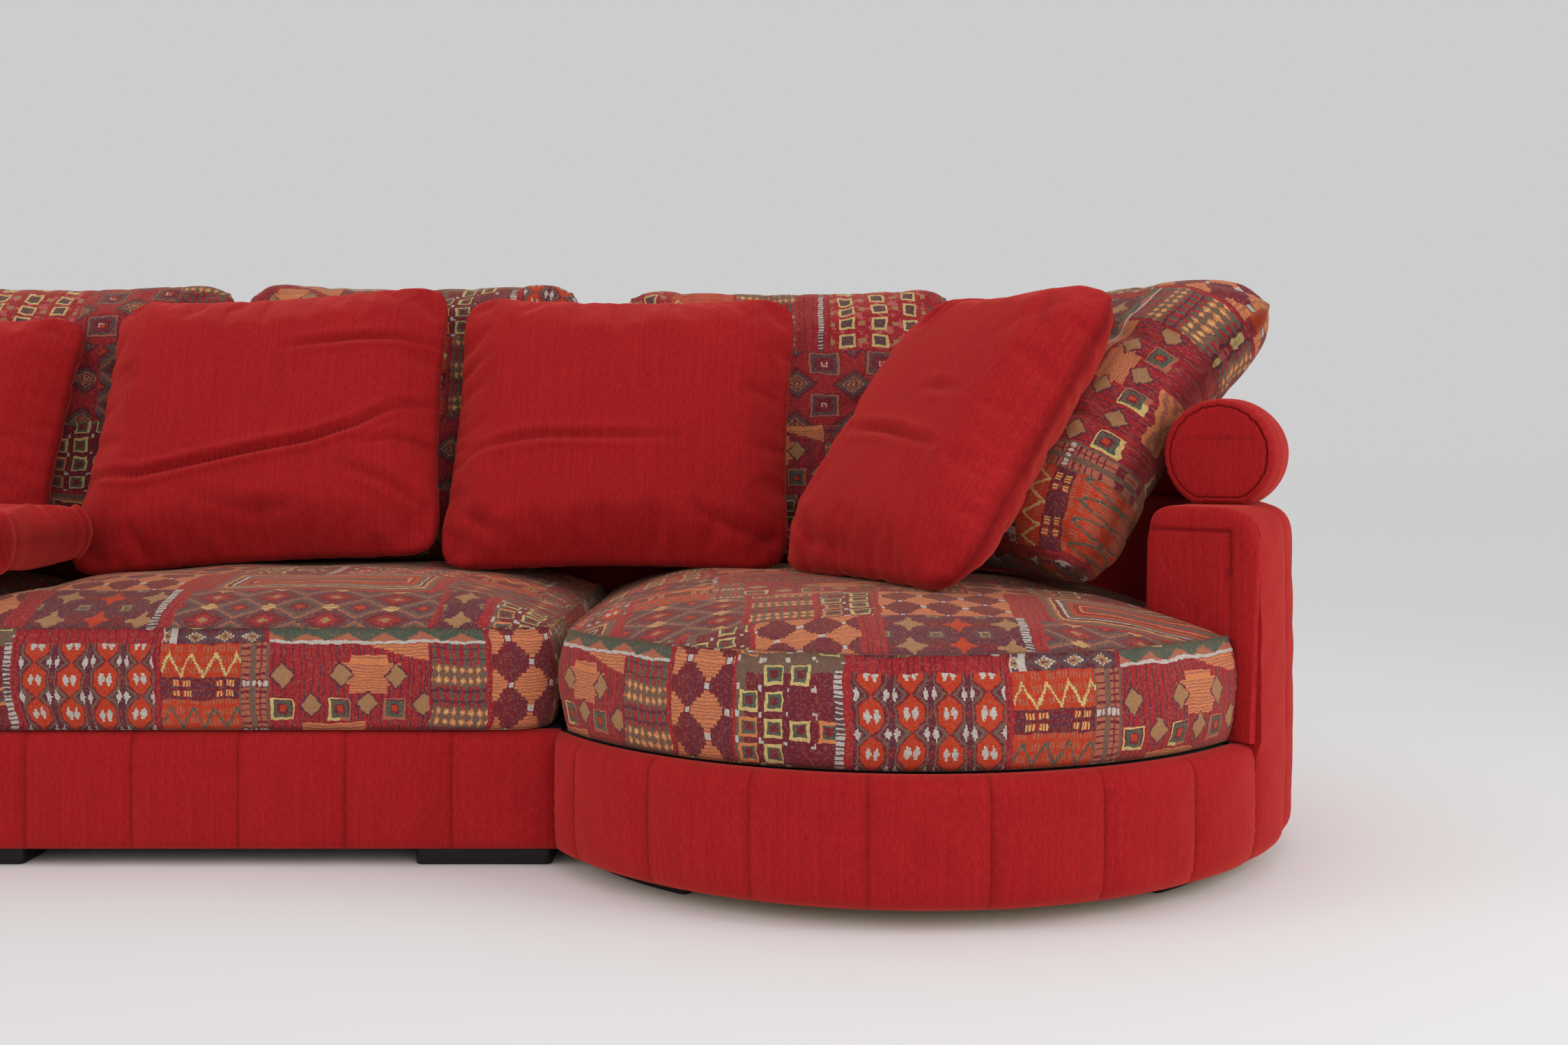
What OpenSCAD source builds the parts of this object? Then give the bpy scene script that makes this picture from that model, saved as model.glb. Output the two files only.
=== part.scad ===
/* [Modules] */
// Width of one straight module
module_w = 1050; // [950:1:1200]
// Depth of a module between its front and back seams
module_d = 970; // [900:1:1050]
// Radius of the round end module at its seams
round_r = 650; // [600:1:700]
// Distance from the joining face to the centre of the round module
round_reach = 540; // [480:1:560]
// Angle forward of the side at which the round wall ends, in degrees
wall_end = 39.5; // [25:0.5:45]
// Gap between two joined modules
join_gap = 0.6; // [0.4:0.1:2]

/* [Base and wall] */
// Height of the feet
foot_h = 25; // [20:1:60]
// Length of a foot along the sofa's edge
foot_l = 210; // [150:1:240]
// Depth of a foot, square to the edge
foot_d = 80; // [60:1:100]
// Distance of a foot from a straight module's edge
foot_inset = 12; // [8:1:20]
// Distance of a foot from the round module's edge
round_foot_inset = 72; // [40:1:90]
// How far the cover turns in at the foot of a straight module
straight_turn_in = 10; // [6:1:16]
// How far the cover turns in at the foot of the round module
round_turn_in = 25; // [16:1:26]
// Height of the base's padded deck above the floor
base_top = 207; // [190:1:230]
// Height of the wall that makes the back and the arm
wall_top = 556; // [500:1:600]
// Thickness of the wall between its seams
wall_t = 170; // [150:1:200]
// Thickness of foam and cloth over the frame
cover_t = 30; // [27:1:36]
// Distance between two sewn channel seams
channel_pitch = 164; // [140:1:190]
// How far a channel swells out between its seams
channel_puff = 14; // [6:1:18]
// Radius of the wall's rounded top edges
wall_round = 48; // [40:1:55]
// Thickness of the padded panel that closes the wall's front end
end_pad_t = 18; // [12:1:24]

/* [Frame] */
// Thickness of the rails
rail_t = 28; // [22:1:34]
// Thickness of the plywood uprights and the top rail
ply_t = 22; // [18:1:25]
// Thickness of the hardboard back panel and the cloth side panels
panel_t = 6; // [4:1:8]
// Thickness of the plywood boards of the round module
board_t = 15; // [12:1:18]
// Thickness of the bent hardboard skin
skin_t = 4; // [3:1:5]
// Width of a webbing strap
strap_w = 60; // [50:1:70]
// Thickness of a webbing strap
strap_t = 2; // [1.5:0.1:2.5]
// Straps across a module's width
strap_count = 7; // [5:1:8]
// Thickness of the dust cover under the base
dust_t = 1; // [0.8:0.1:1.5]

/* [Connectors] */
// Width of a connector blade
blade_w = 60; // [40:1:80]
// Thickness of a connector blade
blade_t = 4; // [3:0.5:5]
// How far a blade reaches into its jaw
blade_reach = 46; // [30:1:60]
// Clearance of the blade in its jaw
blade_gap = 0.5; // [0.3:0.1:1]
// Thickness of the jaw's plates
jaw_t = 3; // [2:0.5:4]

/* [Seat cushions] */
// Height of a seat cushion's sides, up to its top seam
seat_side = 155; // [130:1:180]
// Rise of the crown above the top seam
seat_crown = 66; // [40:1:80]
// Setback of the round cushion from the base's seams
round_seat_setback = 17; // [10:1:30]
// Play between a seat cushion and the walls beside it
seat_play = 3; // [2:0.5:6]

/* [Bolsters] */
// Diameter of the bolster roll
bolster_d = 175; // [150:1:200]
// How deep the roll beds down on the wall
bolster_bed = 10; // [6:1:20]
// Distance of the round roll's end from the wall's end
bolster_setback = 72; // [20:1:120]

/* [Back cushions] */
// Width of a back cushion
back_w = 694; // [640:1:720]
// Height of a back cushion along its face
back_l = 590; // [520:1:620]
// Thickness of a back cushion
back_t = 160; // [130:1:180]
// Lean of the back cushions, in degrees
back_lean = 14; // [10:1:18]
// Width of the cushion that lies over the arm
corner_back_w = 540; // [480:1:600]
// Length of the cushion that lies over the arm
corner_back_l = 640; // [600:1:720]
// Bend of the cushion that lies over the arm, in degrees
drape = 28; // [20:1:45]

/* [Loose pillows] */
// Width of a loose pillow
pillow_w = 690; // [600:1:700]
// Height of a loose pillow along its face
pillow_l = 570; // [500:1:600]
// Height of the pillow at the far left
pillow_far_l = 520; // [460:1:560]
// Width of the pillow in the corner
corner_pillow_w = 530; // [460:1:580]
// Height of the pillow in the corner
corner_pillow_l = 610; // [520:1:640]
// Width of the pillow at the left end
pillow_far_w = 560; // [480:1:600]
// Width of the pillow that lies flat
lying_w = 600; // [500:1:650]
// Depth of the pillow that lies flat
lying_l = 390; // [340:1:400]
// Thickness of a loose pillow
pillow_t = 150; // [110:1:170]
// Lean of the loose pillows, in degrees
pillow_lean = 23; // [19:1:28]
// Turn of the two corner cushions about the upright, in degrees
corner_turn = 58; // [50:1:65]

/* [Hidden] */

red = "#b3141a";
black = "#15120f";
timber = "#c9a26a";
plywood = "#d6b98a";
jute = "#b59a6b";
foam = "#e6d9b0";
steel = "#8d9094";
tapestry = "#7d3a36";

// Play of a piece above or beside what carries it
rest_gap = 0.3;
// Clearance of a loose cushion over its neighbours
pad_gap = 1.6;
// Fit of the round frame's boards between its skins
fit = 0.6;
// Frame levels
frame_z = foot_h + dust_t;
deck_pad_t = 13;
deck_z = base_top - deck_pad_t;
rail_z = deck_z - 2 * strap_t;
top_rail_z = wall_top - cover_t - ply_t;
// Places of the modules in the whole sofa
overall_w = 2 * (module_w + join_gap) + round_reach + round_r + channel_puff;
middle_right_x = overall_w / 2 - round_reach - round_r - channel_puff - join_gap;
round_x = middle_right_x + join_gap + round_reach;
front_y = round_r - module_d;
// Places across a straight module, from its front seams
wall_y = module_d - wall_t;
upright_y0 = wall_y + cover_t + panel_t;
upright_y1 = module_d - cover_t - rail_t;
// Bolster axis
bolster_r = bolster_d / 2;
bolster_z = wall_top + bolster_r - bolster_bed;
// Seat cushion levels
seat_z0 = base_top + rest_gap;
seat_seam = base_top + seat_side;
seat_top = seat_seam + seat_crown;

module at_left() { translate([middle_right_x - 2 * module_w - join_gap, front_y, 0]) children(); }
module at_middle() { translate([middle_right_x - module_w, front_y, 0]) children(); }
module at_round() { translate([round_x, 0, 0]) children(); }

// Solid between an outer and an inner grid of points with the same rows and columns
module sheet(outer, inner) {
    rows = len(outer);
    cols = len(outer[0]);
    n = rows * cols;
    function at(i, j) = i * cols + j;
    function quad(a, b, c, d) = [[a, b, c], [a, c, d]];
    points = concat([for (row = outer, p = row) p], [for (row = inner, p = row) p]);
    last_row = rows - 1;
    last_col = cols - 1;
    faces = concat(
        [for (i = [0:rows - 2], j = [0:cols - 2])
            each quad(at(i, j), at(i, j + 1), at(i + 1, j + 1), at(i + 1, j))],
        [for (i = [0:rows - 2], j = [0:cols - 2])
            each quad(n + at(i, j), n + at(i + 1, j), n + at(i + 1, j + 1), n + at(i, j + 1))],
        [for (i = [0:rows - 2])
            each quad(at(i, 0), at(i + 1, 0), n + at(i + 1, 0), n + at(i, 0))],
        [for (i = [0:rows - 2])
            each quad(at(i, last_col), n + at(i, last_col), n + at(i + 1, last_col), at(i + 1, last_col))],
        [for (j = [0:cols - 2])
            each quad(at(0, j), n + at(0, j), n + at(0, j + 1), at(0, j + 1))],
        [for (j = [0:cols - 2])
            each quad(at(last_row, j), at(last_row, j + 1), n + at(last_row, j + 1), n + at(last_row, j))]
    );
    polyhedron(points, faces);
}

// Closed solid through a stack of rings, each end drawn to its centre point
module stack(rings, first, last) {
    n = len(rings[0]);
    m = len(rings);
    points = concat([for (r = rings, p = r) p], [first, last]);
    faces = concat(
        [for (k = [0:m - 2], i = [0:n - 1], f = [
            [k * n + i, k * n + (i + 1) % n, (k + 1) * n + (i + 1) % n],
            [k * n + i, (k + 1) * n + (i + 1) % n, (k + 1) * n + i],
        ]) f],
        [for (i = [0:n - 1]) [m * n, (i + 1) % n, i]],
        [for (i = [0:n - 1]) [m * n + 1, (m - 1) * n + i, (m - 1) * n + (i + 1) % n]]
    );
    polyhedron(points, [for (f = faces) [f[2], f[1], f[0]]]);
}

// Channels: a station holds its place on the seam line, its outward direction and its share of the swell.
// Each channel takes this many straight steps.
steps = 3;
function swell(k) = sin(180 * k / steps);
function channel_edges(length) =
    let (n = floor((length - 1) / channel_pitch))
    concat([0], [for (i = [n:-1:0]) length - i * channel_pitch]);
function channel_stations(edges) = concat(
    [for (i = [0:len(edges) - 2], k = [0:steps - 1])
        let (width = edges[i + 1] - edges[i])
        [edges[i] + width * k / steps, swell(k) * min(1, width / channel_pitch)]],
    [[edges[len(edges) - 1], 0]]);
// A profile point is its share of the swell, its depth behind the seams and its height
function carried(stations, profile) = [for (s = stations) [for (p = profile)
    let (out = channel_puff * s[4] * p[0] - p[1])
    [s[0] + s[2] * out, s[1] + s[3] * out, p[2]]]];

// Rounding of the base's top and bottom edges
edge_round = 14;
function base_outer(turn_in) = [
    [0, turn_in, foot_h], [0.6, turn_in / 3, foot_h + turn_in / 2],
    [1, 0, foot_h + 1.6 * turn_in], [1, 0, base_top - 2.8 * edge_round],
    [0.6, edge_round / 3, base_top - edge_round / 2], [0, 1.2 * edge_round, base_top],
];
function behind(profile) = [for (p = profile) [0, cover_t, p[2]]];
function wall_outer(turn_in) = [
    [0, turn_in, foot_h], [1, 0, foot_h + 1.6 * turn_in], [1, 0, wall_top - wall_round],
    [0.6, wall_round * 0.29, wall_top - wall_round * 0.29], [0, wall_round, wall_top],
    [0, wall_t - wall_round, wall_top],
    [0, wall_t - wall_round * 0.29, wall_top - wall_round * 0.29], [0, wall_t, wall_top - wall_round],
    [0, wall_t, deck_z],
];
function wall_inner(turn_in) = [
    [0, cover_t, foot_h], [0, cover_t, foot_h + 1.6 * turn_in], [0, cover_t, wall_top - wall_round],
    [0, cover_t, wall_top - cover_t], [0, wall_round, wall_top - cover_t],
    [0, wall_t - wall_round, wall_top - cover_t],
    [0, wall_t - cover_t, wall_top - cover_t], [0, wall_t - cover_t, wall_top - wall_round],
    [0, wall_t - cover_t, deck_z],
];

// Straight modules
module front_rail() {
    color(timber) translate([panel_t, cover_t, frame_z])
        cube([module_w - 2 * panel_t, rail_t, rail_z - frame_z]);
}
module back_rails() {
    color(timber) {
        for (y = [upright_y0 - rail_t, upright_y1])
            translate([panel_t, y, frame_z]) cube([module_w - 2 * panel_t, rail_t, rail_z - frame_z]);
    }
}
module side_rails() {
    y0 = cover_t + rail_t;
    color(timber) for (x = [panel_t, module_w - panel_t - rail_t])
        translate([x, y0, frame_z]) cube([rail_t, upright_y0 - rail_t - y0, rail_z - frame_z]);
}
// Leg of a corner block
corner_block = 70;
module corner_blocks() {
    y0 = cover_t + rail_t;
    y1 = upright_y0 - rail_t;
    x0 = panel_t + rail_t;
    color(timber) translate([0, 0, frame_z + 2 * rail_t]) linear_extrude(rail_z - frame_z - 2 * rail_t)
        for (right = [0, 1], back = [0, 1])
            translate([right ? module_w - x0 : x0, back ? y1 : y0])
                mirror([right, 0]) mirror([0, back]) polygon([[0, 0], [corner_block, 0], [0, corner_block]]);
}
module webbing() {
    x_pitch = (module_w - 2 * panel_t) / strap_count;
    y0 = cover_t;
    y1 = wall_y + cover_t;
    rows = strap_count - 1;
    y_pitch = (wall_y - y0) / rows;
    color(jute) {
        for (i = [0:strap_count - 1])
            translate([panel_t + (i + 0.5) * x_pitch - strap_w / 2, y0, rail_z])
                cube([strap_w, y1 - y0, strap_t]);
        for (i = [0:rows - 1])
            translate([panel_t, y0 + (i + 0.5) * y_pitch - strap_w / 2, rail_z + strap_t])
                cube([module_w - 2 * panel_t, strap_w, strap_t]);
    }
}
module deck_pad() {
    color(foam) translate([0, cover_t, deck_z]) cube([module_w, wall_y - cover_t, deck_pad_t]);
}
module dust_cover() {
    color(black) translate([panel_t, cover_t, foot_h])
        cube([module_w - 2 * panel_t, module_d - 2 * cover_t, dust_t]);
}
module feet() {
    color(black) for (right = [0, 1], back = [0, 1])
        translate([
            right ? module_w - foot_inset - foot_l : foot_inset,
            back ? module_d - foot_inset - foot_d : foot_inset, 0]) cube([foot_l, foot_d, foot_h]);
}
module front_cover() {
    stations = [for (s = channel_stations(channel_edges(module_w))) [s[0], 0, 0, -1, s[1]]];
    outer = base_outer(straight_turn_in);
    color(red) sheet(carried(stations, outer), carried(stations, behind(outer)));
}
module side_panels() {
    color(red) for (x = [0, module_w - panel_t]) {
        translate([x, cover_t, foot_h]) cube([panel_t, module_d - 2 * cover_t, deck_z - foot_h]);
        translate([x, wall_y + cover_t, deck_z + rest_gap])
            cube([panel_t, wall_t - 2 * cover_t, wall_top - cover_t - deck_z - rest_gap]);
    }
}
// Uprights across a straight wall
upright_count = 4;
module uprights() {
    x0 = panel_t + rail_t;
    pitch = (module_w - 2 * x0 - ply_t) / (upright_count - 1);
    color(plywood) for (i = [0:upright_count - 1])
        translate([x0 + i * pitch, upright_y0, frame_z])
            cube([ply_t, upright_y1 - upright_y0, top_rail_z - frame_z]);
}
module back_panel() {
    color(timber) translate([panel_t, upright_y0 - panel_t, rail_z])
        cube([module_w - 2 * panel_t, panel_t, top_rail_z - rail_z]);
}
module top_rail() {
    color(plywood) translate([panel_t, wall_y + cover_t, top_rail_z])
        cube([module_w - 2 * panel_t, wall_t - 2 * cover_t, ply_t]);
}
module back_cover() {
    stations = [for (s = channel_stations(channel_edges(module_w)))
        [module_w - s[0], module_d, 0, 1, s[1]]];
    color(red) sheet(
        carried(stations, wall_outer(straight_turn_in)), carried(stations, wall_inner(straight_turn_in)));
}
module roll_section() {
    intersection() {
        circle(bolster_r, $fn = 96);
        translate([-bolster_d, bolster_bed - bolster_r]) square(2 * bolster_d);
    }
}
// Play between a roll and the module's side
bolster_play = 4;
module bolster() {
    color(red) translate([bolster_play, module_d - wall_t / 2, bolster_z])
        rotate([90, 0, 90]) linear_extrude(module_w - 2 * bolster_play) roll_section();
}

// Connectors under the base: a blade on one module slides sideways into a jaw on the next
connector_y = [module_d * 0.3, module_d * 0.7];
// Height of a blade, with its jaw's top plate against the base
blade_z = foot_h - 2 * jaw_t - blade_gap - blade_t;
module blade() {
    color(steel) {
        translate([-blade_reach, -blade_w / 2, blade_z]) cube([blade_reach, blade_w, foot_h - blade_z]);
        translate([0, -blade_w / 2, blade_z]) cube([blade_reach + join_gap, blade_w, blade_t]);
    }
}
module jaw() {
    z0 = blade_z - blade_gap - jaw_t;
    side = blade_w + 2 * blade_gap + 2 * jaw_t;
    color(steel) difference() {
        translate([join_gap, -side / 2, z0]) cube([blade_reach + 2 * jaw_t, side, foot_h - z0]);
        translate([0, -side / 2 + jaw_t, z0 + jaw_t])
            cube([join_gap + blade_reach + jaw_t, side - 2 * jaw_t, blade_t + 2 * blade_gap]);
    }
}

// Round end module, drawn about the centre of its arc
// The covers run in short straight steps, so round pieces behind them keep this much clear
facet_sag = round_r * (1 - cos(channel_pitch / steps / round_r * 90 / PI)) + 0.1;
// Plan of the module at a depth behind its seams, cut at the joining face plus a margin
module plan(depth, margin = 0) {
    r = round_r - depth;
    intersection() {
        union() {
            circle(r, $fn = 180);
            translate([-round_reach, 0]) square([round_reach, r]);
        }
        translate([-round_reach + margin, -2 * round_r]) square(4 * round_r);
    }
}
skin_out = cover_t + facet_sag;
skin_in = skin_out + skin_t;
inner_skin_out = wall_t - cover_t - rest_gap;
inner_skin_in = inner_skin_out - skin_t;
// Everything forward of the wall's end
module ahead_of_wall(angle = wall_end) {
    far = 3 * round_r;
    polygon([[0, 0], [far * cos(angle), -far * sin(angle)], [far, -far], [-far, -far], [-far, 0]]);
}
module wall_zone(outer, inner, margin) {
    difference() {
        plan(outer, margin);
        plan(inner, margin - 1);
        ahead_of_wall();
    }
}
module round_bottom_board() {
    color(plywood) translate([0, 0, foot_h]) linear_extrude(board_t) plan(skin_in, panel_t);
}
module round_deck_board() {
    color(plywood) translate([0, 0, deck_z - board_t]) linear_extrude(board_t) plan(skin_in, panel_t);
}
// Blocks along the arc of the round base, and their width
arc_blocks = 8;
block_w = 60;
module round_base_blocks() {
    r = round_r - skin_in - block_w;
    first = -180 + acos((round_reach - panel_t - block_w) / r);
    module block(x, y) {
        translate([x - block_w / 2, y - block_w / 2, foot_h + board_t])
            cube([block_w, block_w, deck_z - foot_h - 2 * board_t]);
    }
    color(timber) {
        for (i = [0:arc_blocks - 1]) rotate(first + i * (90 - first) / arc_blocks) block(r, 0);
        block(-round_reach + panel_t + block_w, r);
        block(0, 0);
    }
}
module round_base_skin() {
    color(timber) translate([0, 0, foot_h]) linear_extrude(deck_z - foot_h) difference() {
        plan(skin_out, panel_t);
        plan(skin_in, panel_t - 1);
    }
}
module round_deck_pad() {
    color(foam) translate([0, 0, deck_z]) linear_extrude(deck_pad_t) difference() {
        plan(skin_out);
        difference() {
            plan(skin_out, -1);
            plan(wall_t + facet_sag, -2);
            ahead_of_wall();
        }
    }
}
// Turns of the curved feet about the centre
foot_turns = [-136, -43, 43];
module round_feet() {
    r = round_r - round_foot_inset;
    turn = foot_l / r * 180 / PI;
    color(black) {
        for (a = foot_turns) rotate(a - turn / 2) rotate_extrude(angle = turn, $fn = 180)
            translate([r - foot_d, 0]) square([foot_d, foot_h]);
        translate([foot_inset - round_reach, round_r - foot_inset - foot_d, 0])
            cube([foot_l, foot_d, foot_h]);
    }
}
// Seam angles of the round front, from the wall's end round to the joining face
left_turn = 180 + acos(round_reach / round_r);
function on_arc(a, f) = [round_r * cos(a), round_r * sin(a), cos(a), sin(a), f];
module round_base_cover() {
    arc = (360 - wall_end - left_turn) * PI / 180 * round_r;
    stations = [for (s = channel_stations(channel_edges(arc)))
        on_arc(left_turn + s[0] / round_r * 180 / PI, s[1])];
    outer = base_outer(round_turn_in);
    color(red) difference() {
        sheet(carried(stations, outer), carried(stations, behind(outer)));
        translate([-2 * round_r - round_reach, -round_r, 0]) cube([2 * round_r, 2 * round_r, wall_top]);
    }
}
module round_side_panels() {
    y0 = -sqrt(pow(round_r - cover_t, 2) - pow(round_reach, 2));
    color(red) translate([-round_reach, 0, 0]) {
        translate([0, y0, foot_h]) cube([panel_t, round_r - cover_t - y0, deck_z - foot_h]);
        translate([0, round_r - wall_t + cover_t, deck_z + rest_gap])
            cube([panel_t, wall_t - 2 * cover_t, wall_top - cover_t - deck_z - rest_gap]);
    }
}
// Uprights along the curved wall
round_upright_count = 5;
module round_uprights() {
    y0 = round_r - inner_skin_in + fit;
    depth = round_r - skin_in - fit - y0;
    pitch = (90 + wall_end) / (round_upright_count - 1);
    color(plywood) translate([0, 0, deck_z]) {
        for (i = [0:round_upright_count - 1]) rotate(i * pitch - 90 - wall_end)
            translate([i == 0 ? -ply_t - fit : -ply_t / 2, y0, 0])
                cube([ply_t, depth, top_rail_z - deck_z]);
        translate([-round_reach + panel_t, y0, 0]) cube([ply_t, depth, top_rail_z - deck_z]);
    }
}
module round_wall_skins() {
    color(timber) translate([0, 0, deck_z]) linear_extrude(top_rail_z - deck_z) {
        wall_zone(skin_out, skin_in, panel_t);
        wall_zone(inner_skin_in, inner_skin_out, panel_t);
    }
}
module round_top_rail() {
    color(plywood) translate([0, 0, top_rail_z]) linear_extrude(ply_t)
        wall_zone(skin_out, inner_skin_out, panel_t);
}
module round_wall_cover() {
    arc = (90 + wall_end) * PI / 180 * round_r;
    edges = channel_edges(arc + round_reach);
    stations = [for (s = channel_stations(edges))
        let (t = arc + round_reach - s[0])
        t > arc ? [arc - t, round_r, 0, 1, s[1]] : on_arc(t / round_r * 180 / PI - wall_end, s[1])];
    along = [for (i = [len(stations) - 1:-1:0]) stations[i]];
    color(red)
        sheet(carried(along, wall_outer(round_turn_in)), carried(along, wall_inner(round_turn_in)));
}
module round_wall_end() {
    outline = [for (p = wall_outer(round_turn_in)) if (p[2] > base_top) [p[1], p[2]]];
    z0 = base_top + rest_gap;
    color(red) rotate(-wall_end) translate([round_r, 0, 0]) rotate([90, 0, 0])
        linear_extrude(end_pad_t) mirror([1, 0]) polygon(concat(
            [[0, z0]], outline, [[wall_t, z0]]));
}
module round_bolster() {
    r = round_r - wall_t / 2;
    end = wall_end - bolster_setback / r * 180 / PI;
    color(red) translate([0, 0, bolster_z]) {
        rotate(-end) rotate_extrude(angle = 90 + end, $fn = 180) translate([r, 0]) roll_section();
        translate([-round_reach + bolster_play, r, 0]) rotate([90, 0, 90])
            linear_extrude(round_reach - bolster_play) roll_section();
    }
}

// Seat cushions: rings of the outline, drawn in at the bottom and rising to the crown
function crown_at(s) = seat_seam + seat_crown * (1 - pow(s / 0.972, 4));
seat_rings = [
    [0.97, seat_z0], [1, seat_z0 + 38], [0.995, seat_seam - 24], [0.972, seat_seam],
    for (s = [0.86, 0.62, 0.35]) [s, crown_at(s)],
];
module seat(outline, c) {
    color(tapestry) stack(
        [for (r = seat_rings) [for (p = outline)
            [c[0] + r[0] * (p[0] - c[0]), c[1] + r[0] * (p[1] - c[1]), r[1]]]],
        [c[0], c[1], seat_z0], [c[0], c[1], seat_top]);
}
// A point's share of the way from the centre to the outline
function share_out(p, outline, c) =
    let (q = p - c, n = len(outline))
    max([for (i = [0:n - 1])
        let (a = outline[i] - c, b = outline[(i + 1) % n] - c)
        if (cross(a, q) >= 0 && cross(q, b) >= 0 && q * (a + b) > 0)
            1 - cross(q - a, b - a) / cross(-a, b - a)]);
// Height of the crown at a share of the way out, and none past the seam
function crown_over(s) = s > 0.972 ? -1 : lookup(s, [
    [0, seat_top], [0.35, crown_at(0.35)], [0.62, crown_at(0.62)], [0.86, crown_at(0.86)], [0.972, seat_seam]]);

// Radius of a seat cushion's corners
seat_corner = 60;
function corner(x, y, from, r) = [for (i = [0:3]) [x + r * cos(from + i * 30), y + r * sin(from + i * 30)]];
function edge_points(a, b, n) = [for (i = [1:n]) a + (b - a) * i / (n + 1)];
straight_seat_x = [join_gap + seat_play, module_w - seat_play];
straight_seat_y = [-channel_puff / 2, wall_y - seat_play];
straight_centre = [module_w / 2, (straight_seat_y[0] + straight_seat_y[1]) / 2];
straight_outline = let (
    x0 = straight_seat_x[0], x1 = straight_seat_x[1], y0 = straight_seat_y[0], y1 = straight_seat_y[1],
    r = seat_corner)
    concat(
        corner(x0 + r, y0 + r, 180, r), edge_points([x0 + r, y0], [x1 - r, y0], 5),
        corner(x1 - r, y0 + r, 270, r), edge_points([x1, y0 + r], [x1, y1 - r], 3),
        corner(x1 - r, y1 - r, 0, r), edge_points([x1 - r, y1], [x0 + r, y1], 5),
        corner(x0 + r, y1 - r, 90, r), edge_points([x0, y1 - r], [x0, y0 + r], 3));
module seat_cushion() { seat(straight_outline, straight_centre); }

// Middle of the round seat, from the centre of the arc
round_centre = [-70, -70];
round_outline = let (
    r = round_r - round_seat_setback,
    ri = round_r - wall_t - seat_play,
    x0 = -round_reach + seat_play + join_gap,
    a0 = 180 + acos(-x0 / r),
    a1 = 360 - wall_end - (end_pad_t + seat_play) / r * 180 / PI,
    b1 = 360 - wall_end - (end_pad_t + seat_play) / ri * 180 / PI)
    concat(
        [for (i = [0:13]) let (a = a0 + (a1 - a0) * i / 13) [r * cos(a), r * sin(a)]],
        [for (i = [0:12]) let (a = b1 - 360 + (90 + 360 - b1) * i / 12) [ri * cos(a), ri * sin(a)]],
        edge_points([0, ri], [x0 + seat_corner, ri], 2),
        corner(x0 + seat_corner, ri - seat_corner, 90, seat_corner),
        edge_points([x0, ri - seat_corner], [x0, -sqrt(r * r - x0 * x0)], 4));
module round_seat_cushion() { seat(round_outline, round_centre); }

// Loose cushions: rings of a drawn-in outline across the thickness
// Points around a loose cushion
pad_sides = 24;
// A ring holds its share of the outline and its share of half the thickness
back_rings = [[0.5, 0.98], [0.85, 0.86], [0.97, 0.56], [1, 0], [0.97, -0.56], [0.85, -0.86], [0.5, -0.98]];
pillow_rings = [[0.48, 0.95], [0.78, 0.72], [0.94, 0.36], [1, 0], [0.94, -0.36], [0.78, -0.72], [0.48, -0.95]];
function power(v, e) = sign(v) * pow(abs(v), e);
function pad_outline(w, l, draw) = [for (i = [0:pad_sides - 1])
    let (t = 360 * i / pad_sides, u = power(cos(t), 0.36), v = power(sin(t), 0.36))
    [w / 2 * u * (1 - draw * (1 - v * v)), l / 2 + l / 2 * v * (1 - draw * (1 - u * u))]];
// A bent cushion follows an arc: its up axis turns backwards over its length
function bent(p, l, bend) = bend == 0 ? p :
    let (r = l / bend * 180 / PI, a = bend * p[2] / l)
    [p[0], r - (r - p[1]) * cos(a), (r - p[1]) * sin(a)];
function leaned(p, lean) = [p[0], p[1] * cos(lean) + p[2] * sin(lean), p[2] * cos(lean) - p[1] * sin(lean)];
function rolled(p, l, roll) = let (z = p[2] - l / 2)
    [p[0] * cos(roll) - z * sin(roll), p[1], l / 2 + p[0] * sin(roll) + z * cos(roll)];
function turned(p, turn) = [p[0] * cos(turn) - p[1] * sin(turn), p[0] * sin(turn) + p[1] * cos(turn), p[2]];
// A pad is [width, length, thickness, draw, rings, roll, bend, lean, turn]
function pad_place(p, pad) = turned(leaned(bent(rolled(p, pad[1], pad[5]), pad[1], pad[6]), pad[7]), pad[8]);
function pad_points(pad, at) = let (middle = pad[1] / 2)
    [for (r = pad[4]) [for (p = pad_outline(pad[0], pad[1], pad[3]))
        at + pad_place([p[0] * r[0], pad[2] / 2 * r[1], middle + (p[1] - middle) * r[0]], pad)]];
module pad_solid(pad, at, tint) {
    face = [0, pad[2] / 2, pad[1] / 2];
    color(tint)
        stack(pad_points(pad, at), at + pad_place(face, pad), at + pad_place([0, -face[1], face[2]], pad));
}

// Crown of whichever seat lies under a point of the whole sofa
left_x = middle_right_x - 2 * module_w - join_gap;
middle_x = middle_right_x - module_w;
function under(p) = crown_over(
    p[0] > middle_right_x ? share_out([p[0] - round_x, p[1]], round_outline, round_centre)
    : let (x = p[0] > middle_x ? p[0] - middle_x : p[0] - left_x)
        share_out([x, p[1] - front_y], straight_outline, straight_centre));
// How far a pad must rise along a direction to stand clear of the seats
function pad_samples(pad, at) = let (rings = pad_points(pad, at))
    [for (k = [0:len(rings) - 2], i = [0:pad_sides - 1])
        let (a = rings[k][i], b = rings[k][(i + 1) % pad_sides], c = rings[k + 1][(i + 1) % pad_sides])
        each [a, (a + b) / 2, (a + c) / 2]];
function deficit(pad, at) = max([for (p = pad_samples(pad, at)) under(p) - p[2]]);
function settled(pad, at, along, tries = 3) = tries == 0 ? at :
    settled(pad, at + along * (deficit(pad, at) + pad_gap) / along[2], along, tries - 1);

// Back cushions lean on the bolsters
back_up = [0, sin(back_lean), cos(back_lean)];
function back_pad(w, roll) = [w, back_l, back_t, 0.02, back_rings, roll, 0, back_lean, 0];
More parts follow.
